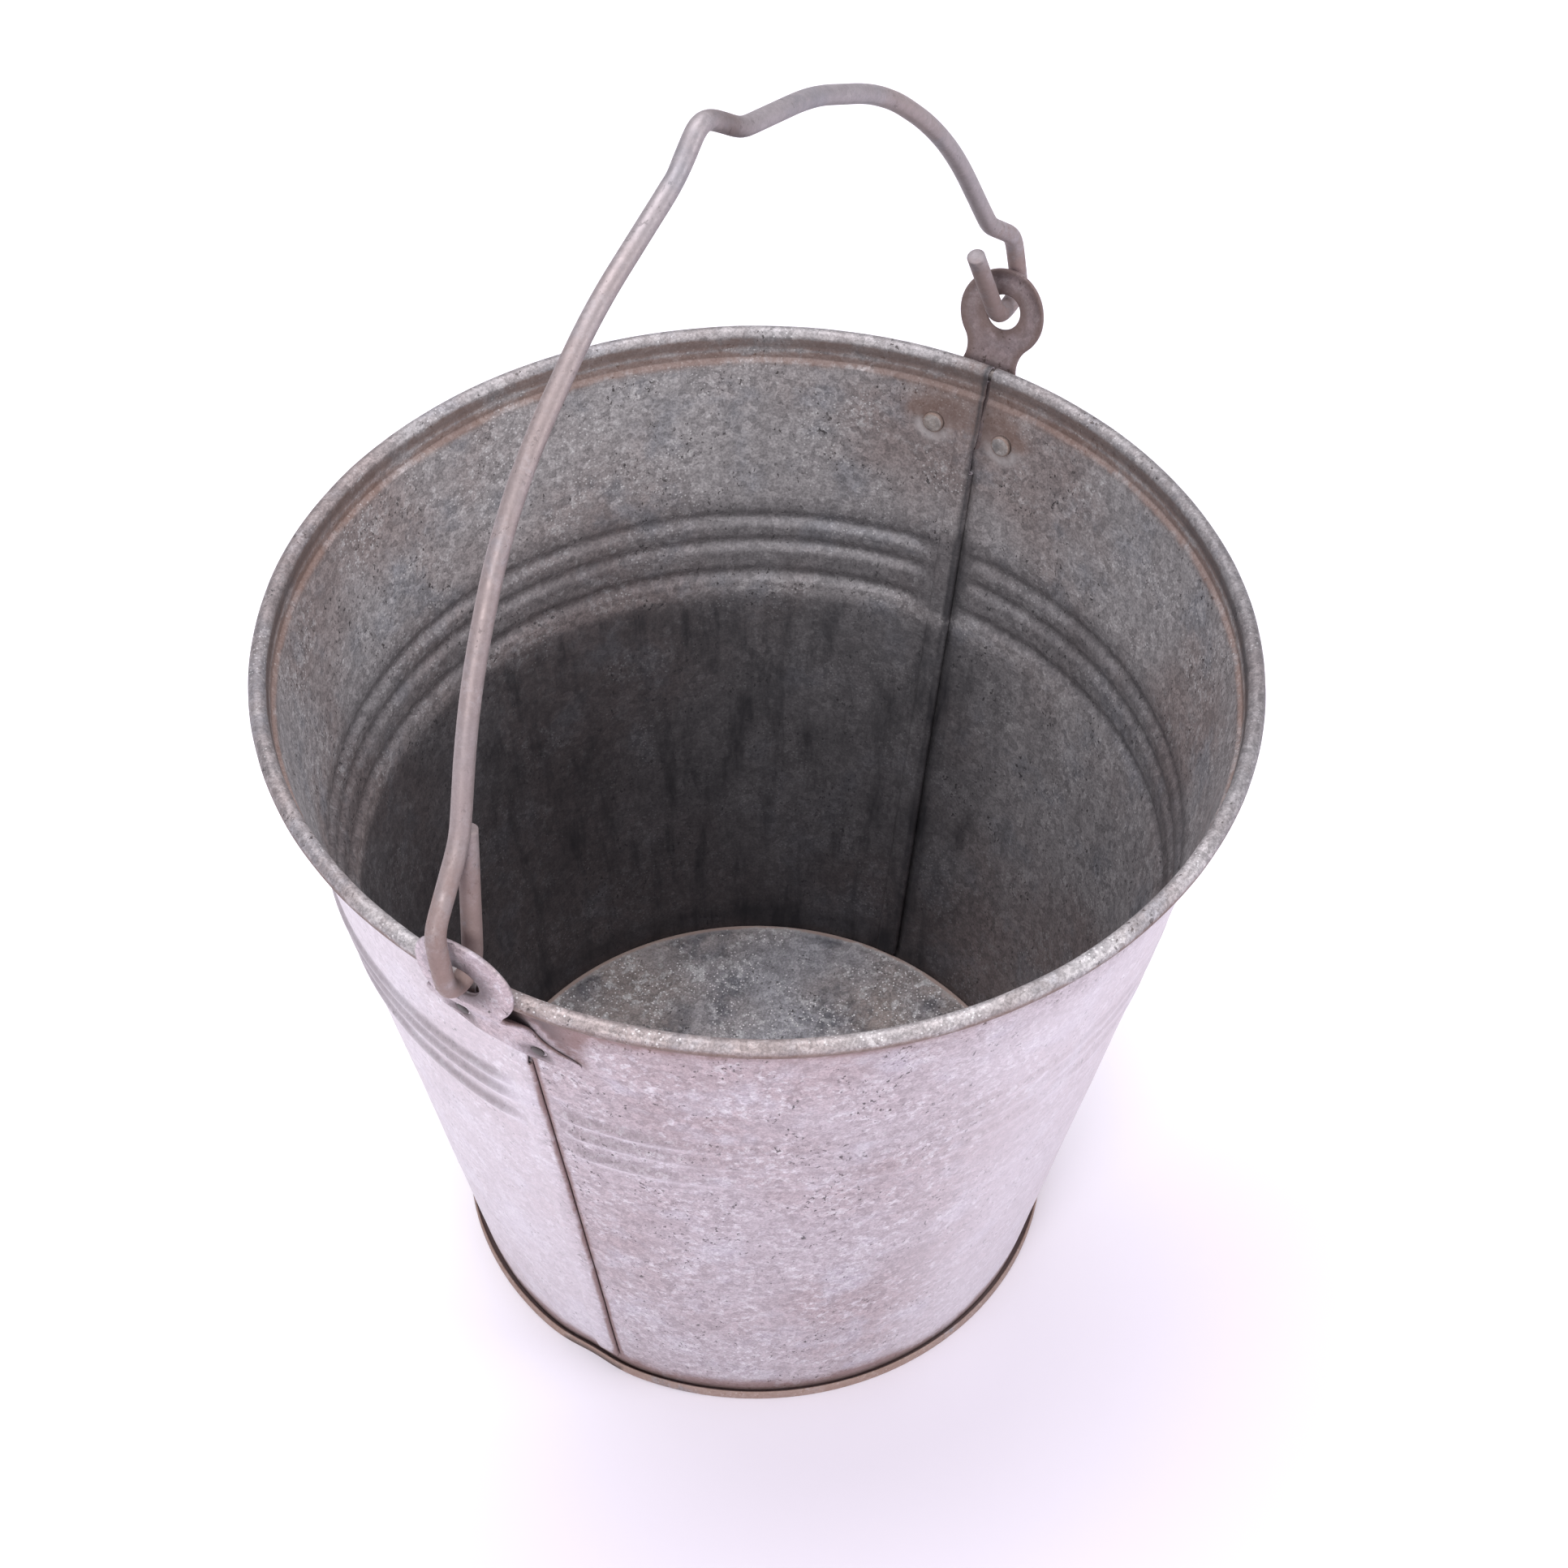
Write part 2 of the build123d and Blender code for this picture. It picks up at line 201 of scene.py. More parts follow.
# ---- body sheets
def profile_rows():
    """Middle line of the sheet from the flange in the foot, up the wall and round the rim wire."""
    rows = [(FLANGE_EDGE, FLANGE_Z), ((FLANGE_EDGE + wall_radius(FLANGE_Z)) / 2, FLANGE_Z)]
    low_rib = min(RIB_HEIGHTS) - 7 * MM
    high_rib = max(RIB_HEIGHTS) + RIB_LIFT + 7 * MM
    stops = [
        (FLANGE_Z, LOCK_BOTTOM, 1.5 * MM),
        (LOCK_BOTTOM, 30 * MM, 1.5 * MM),
        (30 * MM, low_rib, 3.5 * MM),
        (low_rib, high_rib, 0.65 * MM),
        (high_rib, 215 * MM, 2.5 * MM),
        (215 * MM, NECK_BOTTOM - 1.5 * MM, 1.2 * MM),
        (NECK_BOTTOM - 1.5 * MM, NECK_BOTTOM + NECK_LEDGE + 1.5 * MM, 0.35 * MM),
    ]
    for low, high, step in stops:
        for z in np.linspace(low, high, max(2, round((high - low) / step)) + 1)[:-1]:
            ledge = smooth((z - NECK_BOTTOM) / NECK_LEDGE)
            radius = wall_radius(min(z, NECK_BOTTOM + NECK_LEDGE)) - SHEET / 2 / math.cos(WALL_ANGLE)
            rows.append((radius + NECK_STEP * ledge, z))
    middle = ROLL_RADIUS - SHEET / 2
    neck_top = ROLL_CENTRE - middle
    for share in (0.3, 0.65):
        low_radius, low_z = rows[-1] if share == 0.3 else rows[-2]
        rows.append((low_radius + (neck_top - low_radius) * share, low_z + (ROLL_Z - low_z) * share))
    for angle in np.linspace(180, CURL_END, 28):
        turn = math.radians(angle)
        rows.append((ROLL_CENTRE + middle * math.cos(turn), ROLL_Z + middle * math.sin(turn)))
    return np.array(rows)


def rib_lift(angles):
    """How much higher the ribs sit at an angle than at the right seam."""
    return RIB_LIFT * smooth((angles - 115) / 40) * (angles < 183)


def rib_rise(z):
    """How far the three ribs push the sheet outward at a height."""
    rise = np.zeros_like(z)
    for middle in RIB_HEIGHTS:
        share = np.clip(np.abs(z - middle) / RIB_HALF_WIDTH, 0, 1)
        rise = rise + RIB_DEPTH * np.cos(share * math.pi / 2) ** 2
    return rise


def rivet_spots(side):
    """Angle and height of the two rivets of one ear: side 0 is the right ear, side 180 the left one."""
    spots = []
    for height, way in zip(RIVET_HEIGHTS[side], (-1, 1)):
        radius = wall_radius(height)
        middle = math.degrees(math.asin(EAR_OFFSET[side] / radius))
        middle = middle if side == 0 else 180 - middle
        spots.append((middle + way * math.degrees(math.asin(RIVET_HALF_SPACING / radius)), height))
    return spots


def rivet_distance(angles, heights):
    """Distance over the sheet to the nearest rivet."""
    nearest = np.full(np.shape(angles), 1.0)
    for side in (0, 180):
        for angle, height in rivet_spots(side):
            across = (angles - angle + 180) % 360 - 180
            along = np.radians(across) * wall_radius(height)
            nearest = np.minimum(nearest, np.hypot(along, heights - height))
    return nearest


def press(angles, heights):
    """How far a knocked-about pail is pressed outward: sheet, foot and rim share it."""
    turn = np.radians(angles)
    share = heights / RIM_TOP
    oval = 0.9 * MM * np.cos(2 * (turn - math.radians(115))) * share
    three = 0.5 * MM * np.cos(3 * turn + 0.6) * share
    beside = (angles - FOOT_DENT + 180) % 360 - 180
    dent = -1.3 * MM * bell(beside, 5.5) * fade(heights, 18)
    return oval + three - 1.4 * MM * share + dent


def inner_layer(inner_rise, kink):
    """Flap, fold, flat and joggle at the start of a half, as (distance past the seam, rise)."""
    layer = []
    for along in np.linspace(-LOCK_HALF, LOCK_HALF + LOCK_FOLD, 7):
        layer.append((along - kink, -LOCK_RISE * inner_rise))
    for share in (0.2, 0.4, 0.6, 0.8, 1.0):
        along = LOCK_HALF + LOCK_FOLD + (LOCK_CREASE - LOCK_HALF - LOCK_FOLD) * share
        layer.append((along, -LOCK_RISE * inner_rise * (1 - smooth(share))))
    return layer


def outer_layer(outer_rise, edge):
    """Joggle and flat at the end of a half, up to its snipped edge."""
    layer = []
    joggle = LOCK_REACH - LOCK_HALF - LOCK_FOLD
    for share in np.linspace(0, 1, 12):
        along = -LOCK_REACH + (edge + LOCK_REACH) * share
        layer.append((along, LOCK_RISE * outer_rise * smooth((along + LOCK_REACH) / joggle)))
    return layer


def lock_flaps(edge):
    """Hidden flaps that turn back inside the lock, on the inner and on the outer layer."""
    inner_flap = []
    outer_flap = []
    for share in np.linspace(0, 1, 7)[1:]:
        over = LOCK_FOLD * math.sin(share * math.pi)
        across = LOCK_FOLD * (1 - math.cos(share * math.pi))
        inner_flap.append((-LOCK_HALF - over, -LOCK_RISE + across))
        outer_flap.append((edge + over, LOCK_RISE - across))
    for share in (0.5, 1.0):
        run = (2 * LOCK_HALF - 0.6 * MM) * share
        inner_flap.append((-LOCK_HALF + run, -LOCK_RISE + 2 * LOCK_FOLD))
        outer_flap.append((edge - run, LOCK_RISE - 2 * LOCK_FOLD))
    return inner_flap, outer_flap


def sheet_faces(chains, width):
    """Quads along each chain of columns, from its lowest to its highest row."""
    faces = []
    for names, low, high in chains:
        for row in range(low, high - 1):
            for left, right in zip(names[:-1], names[1:]):
                a, b = row * width, (row + 1) * width
                faces.append((a + left, a + right, b + right, b + left))
    return faces


def body_half(name, start, node):
    """Half of the wall from one lock seam to the next, with its hooks, ribs, neck and rolled rim."""
    rows = profile_rows()
    radius, height = rows[:, 0:1], rows[:, 1:2]
    on_wall = (height > FLANGE_Z + 0.1 * MM) & (height < NECK_BOTTOM + NECK_LEDGE + 2 * MM)
    in_lock = climb(height - LOCK_BOTTOM, -3, 3)
    kink = 0.6 * MM * smooth((height - KINK_Z) / (4 * MM))
    inner_top = LOCK_TOP[start]
    outer_top = LOCK_TOP[180 - start]
    outer_rise = in_lock * (1 - smooth((height - outer_top) / (5 * MM)))
    inner_rise = in_lock * (1 - smooth((height - KINK_Z) / (10 * MM)))
    snip = climb(height - outer_top, 5.5, 4)

    jag = np.array([[noise.noise(Vector((start, z * 900, 0)))] for z in height[:, 0]])
    edge = LOCK_HALF + jag * 0.45 * MM * (1 - climb(height, 14, 14))
    edge = edge * (1 - snip) - (LOCK_HALF + LOCK_FOLD + 0.75 * MM + kink) * snip

    first = start + LOCK_ANGLE
    last = start + 180 + LOCK_ANGLE
    columns = []
    for along, out in inner_layer(inner_rise, kink):
        columns.append((first + np.degrees(along / radius), out))
    begin = first + np.degrees(LOCK_CREASE / radius)
    finish = last - np.degrees(LOCK_REACH / radius)
    for share in np.linspace(0, 1, 200)[1:-1]:
        columns.append((begin + (finish - begin) * share, 0 * height))
    for along, out in outer_layer(outer_rise, edge):
        columns.append((last + np.degrees(along / radius), out))
    plain_columns = len(columns)
    inner_flap, outer_flap = lock_flaps(edge)
    for along, out in inner_flap:
        columns.append((first + np.degrees(along / radius), out * in_lock))
    for along, out in outer_flap:
        columns.append((last + np.degrees(along / radius), out * in_lock))

    angles = np.hstack([column[0] + 0 * height for column in columns])
    offsets = np.hstack([column[1] + 0 * height for column in columns])
    heights = np.broadcast_to(height, angles.shape)
    seam = np.minimum(np.abs(angles - first), np.abs(angles - last))
    beside = np.radians(seam) * radius - LOCK_REACH
    worn = 1 - 0.72 * smooth((angles - 192) / 14) * smooth((310 - angles) / 30)
    strength = smooth((beside + RIB_START) / RIB_FADE) * worn * on_wall
    hollow = fade(rivet_distance(angles, heights), 11)
    ribs = rib_rise(heights - rib_lift(angles)) * strength
    flat = radius + offsets + ribs + RIVET_HOLLOW * hollow * on_wall
    flat = flat + press(angles, heights)
    turn = np.radians(angles)
    points = around(flat, turn, heights).reshape(-1, 3)
    dents = 0.28 * MM * wobble(points, 45 * MM, 1) + 0.10 * MM * wobble(points, 16 * MM, 2)
    outward = around(1.0, turn, 0 * turn).reshape(-1, 3)
    points = points + outward * dents[:, None]

    width = len(columns)
    first_flap = int(np.argmax(height[:, 0] > LOCK_BOTTOM - 1 * MM))
    inner_names = [0] + list(range(plain_columns, plain_columns + len(inner_flap)))
    outer_names = [plain_columns - 1] + list(range(plain_columns + len(inner_flap), width))
    faces = sheet_faces([
        (list(range(plain_columns)), 0, len(rows)),
        (inner_names[::-1], first_flap, int(np.sum(height < inner_top))),
        (outer_names, first_flap, int(np.sum(height < outer_top))),
    ], width)
    used = sorted({v for face in faces for v in face})
    renumber = {old: new for new, old in enumerate(used)}
    faces = [tuple(renumber[v] for v in face) for face in faces]
    piece = add_mesh(name, points[used], faces)

    flat_angles = angles.reshape(-1)[used]
    flat_heights = heights.reshape(-1)[used]
    past_seam = np.where(np.abs(angles - first) < np.abs(angles - last), angles - first, angles - last)
    flat_seam = (np.radians(past_seam) * radius).reshape(-1)[used]
    paint_body(piece, flat_angles, flat_heights, flat_seam, strength.reshape(-1)[used])

    thick = piece.modifiers.new("thickness", "SOLIDIFY")
    thick.thickness = SHEET
    thick.offset = 0
    thick.use_even_offset = True
    thick.material_offset = 1
    thick.material_offset_rim = 0
    piece.data.materials.append(OUTSIDE_ZINC)
    piece.data.materials.append(INSIDE_ZINC)
    bake_modifiers(piece, 50)
    return finish_piece(piece, "pail", "body_zinc", node)


RIVET_STAIN_Z = 236                         # above this height, in millimetres, rivets stain most
NOTCH_LOW, NOTCH_HIGH = 251 * MM, 254 * MM  # wall between the left ear's wings and the roll, where painted shade lies, brown and dark


def inside_marks(angles, heights, past_seam, on_wall):
    """Rust, grime, painted shade, pale zinc and painted highlights inside the pail and on the roll, where
    the sheet's inner side shows.
    """
    turn = np.radians(angles)
    far_side = np.cos(turn) > 0.0
    away = np.cos(turn - math.radians(ROLL_LIT_SIDE))
    below_ribs = smooth((RIB_HEIGHTS[2] - 4.5 * MM - heights) / (8 * MM))
    rivets = rivet_distance(angles, heights)
    above_rivets = climb(heights, RIVET_STAIN_Z, 6)
    on_roll = climb(heights - ROLL_Z, -4, 2)
    roll_foot = on_roll * smooth((ROLL_Z + 1.1 * MM - heights) / (2 * MM))

    rust = 0.75 * bell(heights - NECK_BOTTOM - 2 * MM, 2.4 * MM)
    rust += 0.25 * fade(RIM_TOP - heights, 40) * on_wall
    rust += (0.35 + 0.85 * above_rivets) * bell(rivets - 1 * MM, 9 * MM)
    rust += 0.35 * fade(heights - FLOOR_TOP, 6)
    rust += 0.25 * bell(past_seam, 9 * MM) * climb(heights, 150, 60)
    rust += 0.26 * on_roll + 0.70 * roll_foot

    # dark below the ribs, less so on the right, and again just above the floor
    right = far_side * smooth(np.sin(turn) * -2.2 - 0.02)
    grime_and_shade = below_ribs * (0.80 - 0.60 * right) + 0.34 * fade(heights - FLOOR_TOP, 16)
    # in and between the ribs, and a trace above them everywhere but on the left
    rib_zone = climb(heights - RIB_HEIGHTS[2], -6, 5)
    rib_zone *= smooth((RIB_HEIGHTS[0] + 12 * MM - heights) / (9 * MM))
    left = far_side * smooth(np.sin(turn) * 1.6 - 0.25)
    grime_and_shade += 0.50 * rib_zone + 0.16 * far_side * (1 - below_ribs) * (1 - left)
    # painted shade on the roll: darker along its foot, on the far side and most of all at the left and
    # right, away from the side nearest the camera
    grime_and_shade += 0.30 * roll_foot
    grime_and_shade += 0.16 * on_roll * smooth((0.7 - away) / 0.5)
    grime_and_shade += 0.26 * on_roll * smooth((0.75 - np.abs(away)) / 0.6)
    # a painted shadow along the edge of the lock's inner layer, and a soft darker band beside it
    grime_and_shade += 0.85 * bell(past_seam + 2.6 * MM, 0.8 * MM) + 0.25 * bell(past_seam + 5 * MM, 3 * MM)

    # painted highlight: a pale ring round each rivet below the stain height, inside the hollow pressed
    # round it
    halo = 0.75 * bell(rivets - 5.6 * MM, 1.5 * MM) * (1 - above_rivets)
    return {"rust_in": rust, "grime_and_shade_in": grime_and_shade, "pale_in": halo, "drips": below_ribs * far_side}


def outside_marks(angles, heights, past_seam, on_wall, ribs):
    """Rust, painted shade, pale zinc and painted highlights outside: under the rim, above the foot, along
    the seams, on the ribs.
    """
    below_rim = RIM_TOP - heights
    near_ear = np.cos(np.radians(angles - 180)) > 0.9
    # the notch between the left ear's wings and the roll: painted shade under the roll and behind the
    # wings, brown with rust colour
    sideways = np.abs(wall_radius(heights) * np.sin(np.radians(angles)) - EAR_OFFSET[180])
    wing_edge = NOTCH_LOW - 1.6 * (sideways - 11 * MM)
    notch = climb(heights - wing_edge, -2, 4) * smooth((NOTCH_HIGH - heights) / (3 * MM))
    notch = notch * near_ear * smooth((33 * MM - sideways) / (13 * MM)) * on_wall

    rust = 0.75 * bell(below_rim - 10 * MM, 4 * MM) + 0.30 * fade(below_rim, 55) * on_wall
    rust += fade(heights - 2 * MM, 15)
    wander = 0.35 * MM * np.array([noise.noise(Vector((z / (9 * MM), 0.3, 0.7))) for z in heights])
    below_ear = heights < NECK_BOTTOM - 25 * MM
    rust += 1.1 * bell(past_seam - 4.1 * MM - wander, 1.25 * MM) * below_ear
    rust += 1.1 * notch
    rust += near_ear * fade(below_rim, 26) * bell(past_seam, 40 * MM) * on_wall

    # painted shade in the notch, darkest towards the middle of the ear
    grime_and_shade = 0.85 * notch * smooth((27 * MM - sideways) / (13 * MM)) + 0.2 * notch
    # zinc worn pale left of the near seam; on the right-hand side of the pail, pale zinc with a painted
    # highlight
    pale = 0.40 * smooth((184 - angles) / 4) * smooth((angles - 100) / 45) * on_wall
    bright_side = smooth((angles - 226) / 26) * smooth((330 - angles) / 45)
    pale += 0.48 * bright_side * climb(below_rim, 12, 30)
    # painted reflection on the ribs: their upper slopes painted dark and their lower edges painted bright
    beside_seam = 0.55 + 0.40 * smooth((181 - angles) / 4)
    for middle in RIB_HEIGHTS:
        above = heights - middle - rib_lift(angles)
        grime_and_shade += 0.60 * beside_seam * ribs * bell(above - 1.9 * MM, 2.5 * MM)
        pale += 0.45 * ribs * bell(above + 3.8 * MM, 1.2 * MM)
    return {"rust_out": rust, "grime_and_shade_out": grime_and_shade, "pale_out": pale}


def paint_body(piece, angles, heights, past_seam, ribs):
    """Sets every mark of a half-sheet; past_seam is the distance over the sheet past its nearer seam."""
    on_wall = climb(RIM_TOP - heights, 5, 4)
    marks = inside_marks(angles, heights, past_seam, on_wall)
    marks.update(outside_marks(angles, heights, past_seam, on_wall, ribs))
    for name, values in marks.items():
        set_attribute(piece, name, values)


# ---- turned pieces
def revolve_outline(outline, segments, shift):
    """A line of (radius, height) points turned round Z; shift moves each point outward and up."""
    angles = np.arange(segments) * 360.0 / segments
    turn = np.radians(angles)
    vertices = []
    for radius, height in outline:
        out, up = shift(radius, height, angles)
        vertices.append(around(radius + out, turn, height + up))
    return np.vstack(vertices), grid_faces(len(outline), segments, True)


def bottom_pan():
    """Raised floor, its side inside the wall, and the lip folded round the body's flange."""
    inset = SHEET / math.cos(WALL_ANGLE) + 0.08 * MM
    floor_edge = wall_radius(FLOOR_TOP) - inset
    side_low = wall_radius(0) - inset
    corner = 1.3 * MM
    top = [(r, FLOOR_TOP) for r in np.linspace(0.4 * MM, floor_edge - corner - 1 * MM, 60)]
    for turn in np.radians(np.linspace(90, 10, 6)):
        bend_radius = floor_edge - corner + corner * math.cos(turn)
        top.append((bend_radius, FLOOR_TOP - corner + corner * math.sin(turn)))
    lip_in = FOOT_RADIUS - SHEET
    lip_top = 4.5 * MM
    rim = [
        (side_low + WALL_SLOPE * 1.4 * MM, 1.4 * MM),
        (side_low + 0.7 * MM, SHEET),
        (lip_in - 0.6 * MM, SHEET),
        (lip_in, SHEET + 0.5 * MM),
        (lip_in, lip_top - 0.3 * MM),
        (lip_in + 0.12 * MM, lip_top - 0.06 * MM),
        (lip_in + 0.3 * MM, lip_top),
        (FOOT_RADIUS - 0.12 * MM, lip_top - 0.06 * MM),
        (FOOT_RADIUS, lip_top - 0.3 * MM),
        (FOOT_RADIUS, 1.0 * MM),
        (FOOT_RADIUS - 0.25 * MM, 0.3 * MM),
        (FOOT_RADIUS - 0.9 * MM, 0.0),
        (side_low - 0.2 * MM, 0.0),
        (side_low - SHEET, 0.7 * MM),
    ]
    under = [(floor_edge - SHEET - 1.6 * MM, FLOOR_TOP - SHEET - 0.6 * MM)]
    under += [(r, FLOOR_TOP - SHEET) for r in np.linspace(floor_edge - corner - 2 * MM, 0.4 * MM, 60)]
    outline = top + rim + under
    rise_edge = floor_edge - 4 * MM

    def shift(radius, height, angles):
        out = press(angles, 0 * angles + height) * climb(radius, 60, 35)
        turn = np.radians(angles)
        points = around(radius, turn, 0 * turn)
        on_floor = smooth((rise_edge - radius) / (6 * MM)) if height > 5 * MM else 0.0
        sag = -0.9 * MM * smooth(1 - radius / rise_edge)
        up = (sag + 0.35 * MM * (wobble(points, 38 * MM, 5) - 1)) * on_floor
        return out, up

    segments = RING_STEPS
    vertices, faces = revolve_outline(outline, segments, shift)
    centre_top = len(vertices)
    last_ring = len(vertices) - segments
    heights = [float(np.mean(vertices[:segments, 2])), float(np.mean(vertices[-segments:, 2]))]
    vertices = np.vstack([vertices, [[0, 0, heights[0]], [0, 0, heights[1]]]])
    for i in range(segments):
        j = (i + 1) % segments
        faces.append((centre_top, j, i))
        faces.append((centre_top + 1, last_ring + i, last_ring + j))
    faces = [face[::-1] for face in faces]
    piece = add_mesh("bottom_pan", vertices, faces)
    radii = np.hypot(vertices[:, 0], vertices[:, 1])
    levels = vertices[:, 2]
    line = bell(radii - floor_edge + 1.0 * MM, 1.2 * MM) * (levels > 5 * MM)
    set_attribute(piece, "pale_in", 0.75 * line)
    lip = (radii > FOOT_RADIUS - 1.5 * MM) * 0.95
    gap = (radii > side_low) * (radii < FOOT_RADIUS - 0.3 * MM) * (levels > 0.3 * MM) * (levels < 4 * MM)
    set_attribute(piece, "rust_in", line + lip + 0.5 * gap)
    set_attribute(piece, "grime_and_shade_in", 0.9 * gap + 0.08 * (levels < 6.5 * MM))
    dress(piece, FLOOR_ZINC, 60)
    return finish_piece(piece, "pail", "bottom_zinc", "bottom_plate")


def sweep_ring(points, sides, radii, across, closed):
    """A round bar along points; across is the direction that stays level with each section."""
    points = np.array(points)
    count = len(points)
    if closed:
        forward = np.roll(points, -1, axis=0) - np.roll(points, 1, axis=0)
    else:
        forward = np.gradient(points, axis=0)
    forward = forward / np.linalg.norm(forward, axis=1)[:, None]
    side = np.broadcast_to(np.array(across), points.shape)
    up = np.cross(forward, side)
    up = up / np.linalg.norm(up, axis=1)[:, None]
    side = np.cross(up, forward)
    turn = np.arange(sides) * 2 * math.pi / sides
    circle_up = np.sin(turn)[None, :, None] * up[:, None, :]
    circle_side = np.cos(turn)[None, :, None] * side[:, None, :]
    radii = np.broadcast_to(np.array(radii).reshape(count, -1), (count, sides))
    vertices = points[:, None, :] + radii[:, :, None] * (circle_side + circle_up)
    faces = grid_faces(count, sides, True)
    if closed:
        last_ring = (count - 1) * sides
        for i in range(sides):
            j = (i + 1) % sides
            faces.append((last_ring + i, last_ring + j, j, i))
    return vertices.reshape(-1, 3), faces


def rim_bead():
    """The steel wire inside the rolled rim."""
    angles = np.arange(RING_STEPS) * 360.0 / RING_STEPS
    turn = np.radians(angles)
    radius = ROLL_CENTRE + press(angles, 0 * angles + ROLL_Z)
    points = around(radius, turn, 0 * turn + ROLL_Z)
    radii = np.full(len(points), RIM_WIRE_RADIUS)
    vertices, faces = sweep_ring(points, 16, radii, (0, 0, 1), True)
    piece = add_mesh("rim_bead_wire", vertices, faces)
    piece.data.materials.append(WIRE_STEEL)
    piece.data.shade_smooth()
    return finish_piece(piece, "pail", "rim_wire_steel", "rim_wire")


# ---- ears
EAR_SHEET = 1.5 * MM
EAR_RIM_Z = RIM_TOP - 5.0 * MM
EAR_RIM_RADIUS = RIM_RADIUS + 0.95 * MM
EAR_HOLE_RADIUS = 5.9 * MM
RIVET_HOLE_RADIUS = 2.5 * MM


def ear_shapes():
    """Sizes of the two ears.

    lean: degrees above the roll; bend and bottom: heights; wing, crook, neck, head and hole_up: the
    outline; skew: rise of the wings towards +Y; lip and punch: how far the head's border and the hole's
    edge are turned; wear: how rusty the ear is; shade: how much painted shade lies round its hole.
    """
    right = {
        "side": 0, "zinc": EAR_ZINC, "wear": 1.3, "shade": 0.1,
        "lean": 25, "bend": 243 * MM, "bottom": 229 * MM,
        "wing": 36 * MM, "crook": (24 * MM, 17.5 * MM), "skew": 0.0,
        "neck": [(13.5, -4.5), (10, -0.6), (9, 3), (9.4, 6.6)],
        "head": 14.9 * MM, "hole_up": 19.5 * MM, "lip": 1.1 * MM, "punch": 0.5 * MM,
    }
    left = {
        "side": 180, "zinc": PALE_EAR_ZINC, "wear": 0.15, "shade": 0.95,
        "lean": 5, "bend": 240 * MM, "bottom": 224 * MM,
        "wing": 26.5 * MM, "crook": (18 * MM, 11.7 * MM), "skew": 0.12,
        "neck": [(13.5, -20.4), (11.2, -12), (10.2, -6.2), (10.8, -1.5)],
        "head": 16.3 * MM, "hole_up": 12.3 * MM, "lip": 0.45 * MM, "punch": 0.15 * MM,
    }
    return right, left


def ear_line(shape):
    """Middle line of the plate: distance up the plate from the rim, and its radius and height there."""
    tilt = math.radians(shape["lean"])
    bend = shape["bend"]
    stand_off = EAR_SHEET / 2 / math.cos(WALL_ANGLE) + 0.1 * MM
    bend_radius = wall_radius(bend) + stand_off
    rise = EAR_RIM_Z - bend
    run = math.hypot(EAR_RIM_RADIUS - bend_radius, rise)
    past = 45 * MM
    corners = np.array([
        (-run - past, bend_radius - past * math.sin(WALL_ANGLE), bend - past * math.cos(WALL_ANGLE)),
        (-run, bend_radius, bend),
        (0, EAR_RIM_RADIUS, EAR_RIM_Z),
        (past, EAR_RIM_RADIUS + past * math.sin(tilt), EAR_RIM_Z + past * math.cos(tilt)),
    ])
    fine = np.linspace(corners[0, 0], corners[-1, 0], 700)
    radius = np.interp(fine, corners[:, 0], corners[:, 1])
    height = np.interp(fine, corners[:, 0], corners[:, 2])
    kernel = np.hanning(45)
    kernel = kernel / kernel.sum()
    edge = len(kernel) // 2
    radius[edge:-edge] = np.convolve(radius, kernel, "valid")
    height[edge:-edge] = np.convolve(height, kernel, "valid")
    return fine, radius, height


def ear_outline_points(shape, foot):
    """Right half of the outline as (across, up) from the bottom middle, mirrored and evened out."""
    wing = shape["wing"]
    crook_across, crook_up = shape["crook"]
    half = [
        (wing - 16 * MM, foot),
        (wing - 2.5 * MM, foot + 3.6 * MM),
        (wing, foot + 6.5 * MM),
        (wing - 1.5 * MM, foot + 8.6 * MM),
        (crook_across, foot + crook_up),
    ]
    half += [(across * MM, up * MM) for across, up in shape["neck"]]
    start = -math.degrees(math.acos(min(1.0, (half[-1][0] + 1.2 * MM) / shape["head"])))
    for turn in np.radians(np.linspace(start, 90, 16)):
        half.append((shape["head"] * math.cos(turn), shape["hole_up"] + shape["head"] * math.sin(turn)))
    ring = half + [(-x, y) for x, y in half[-2::-1]]
    level = -5 * MM
    ring = [(x, y + shape["skew"] * x * float(smooth((level - y) / (12 * MM)))) for x, y in ring]
    for repeat in range(2):
        cut = []
        for (ax, ay), (bx, by) in zip(ring, ring[1:] + ring[:1]):
            cut.append((0.75 * ax + 0.25 * bx, 0.75 * ay + 0.25 * by))
            cut.append((0.25 * ax + 0.75 * bx, 0.25 * ay + 0.75 * by))
        ring = cut
    return even_ring(ring, 0.8 * MM)


def path_lengths(path):
    """Distance along a path to each of its points."""
    return np.concatenate([[0], np.cumsum(np.linalg.norm(np.diff(path, axis=0), axis=1))])


def points_along(path, lengths, places):
    """Points of a flat path at those distances along it."""
    across = np.interp(places, lengths, path[:, 0])
    up = np.interp(places, lengths, path[:, 1])
    return np.stack([across, up], axis=-1)


def even_ring(ring, step):
    """The same closed ring with evenly spaced points."""
    path = np.array(ring + ring[:1])
    lengths = path_lengths(path)
    count = int(round(lengths[-1] / step))
    return points_along(path, lengths, np.arange(count) * lengths[-1] / count)


def inward(ring, distance):
    """A ring moved to its left by a distance: inward for a ring that runs anticlockwise."""
    along = np.roll(ring, -1, axis=0) - np.roll(ring, 1, axis=0)
    along = along / np.linalg.norm(along, axis=1)[:, None]
    return ring + distance * np.stack([-along[:, 1], along[:, 0]], axis=-1)


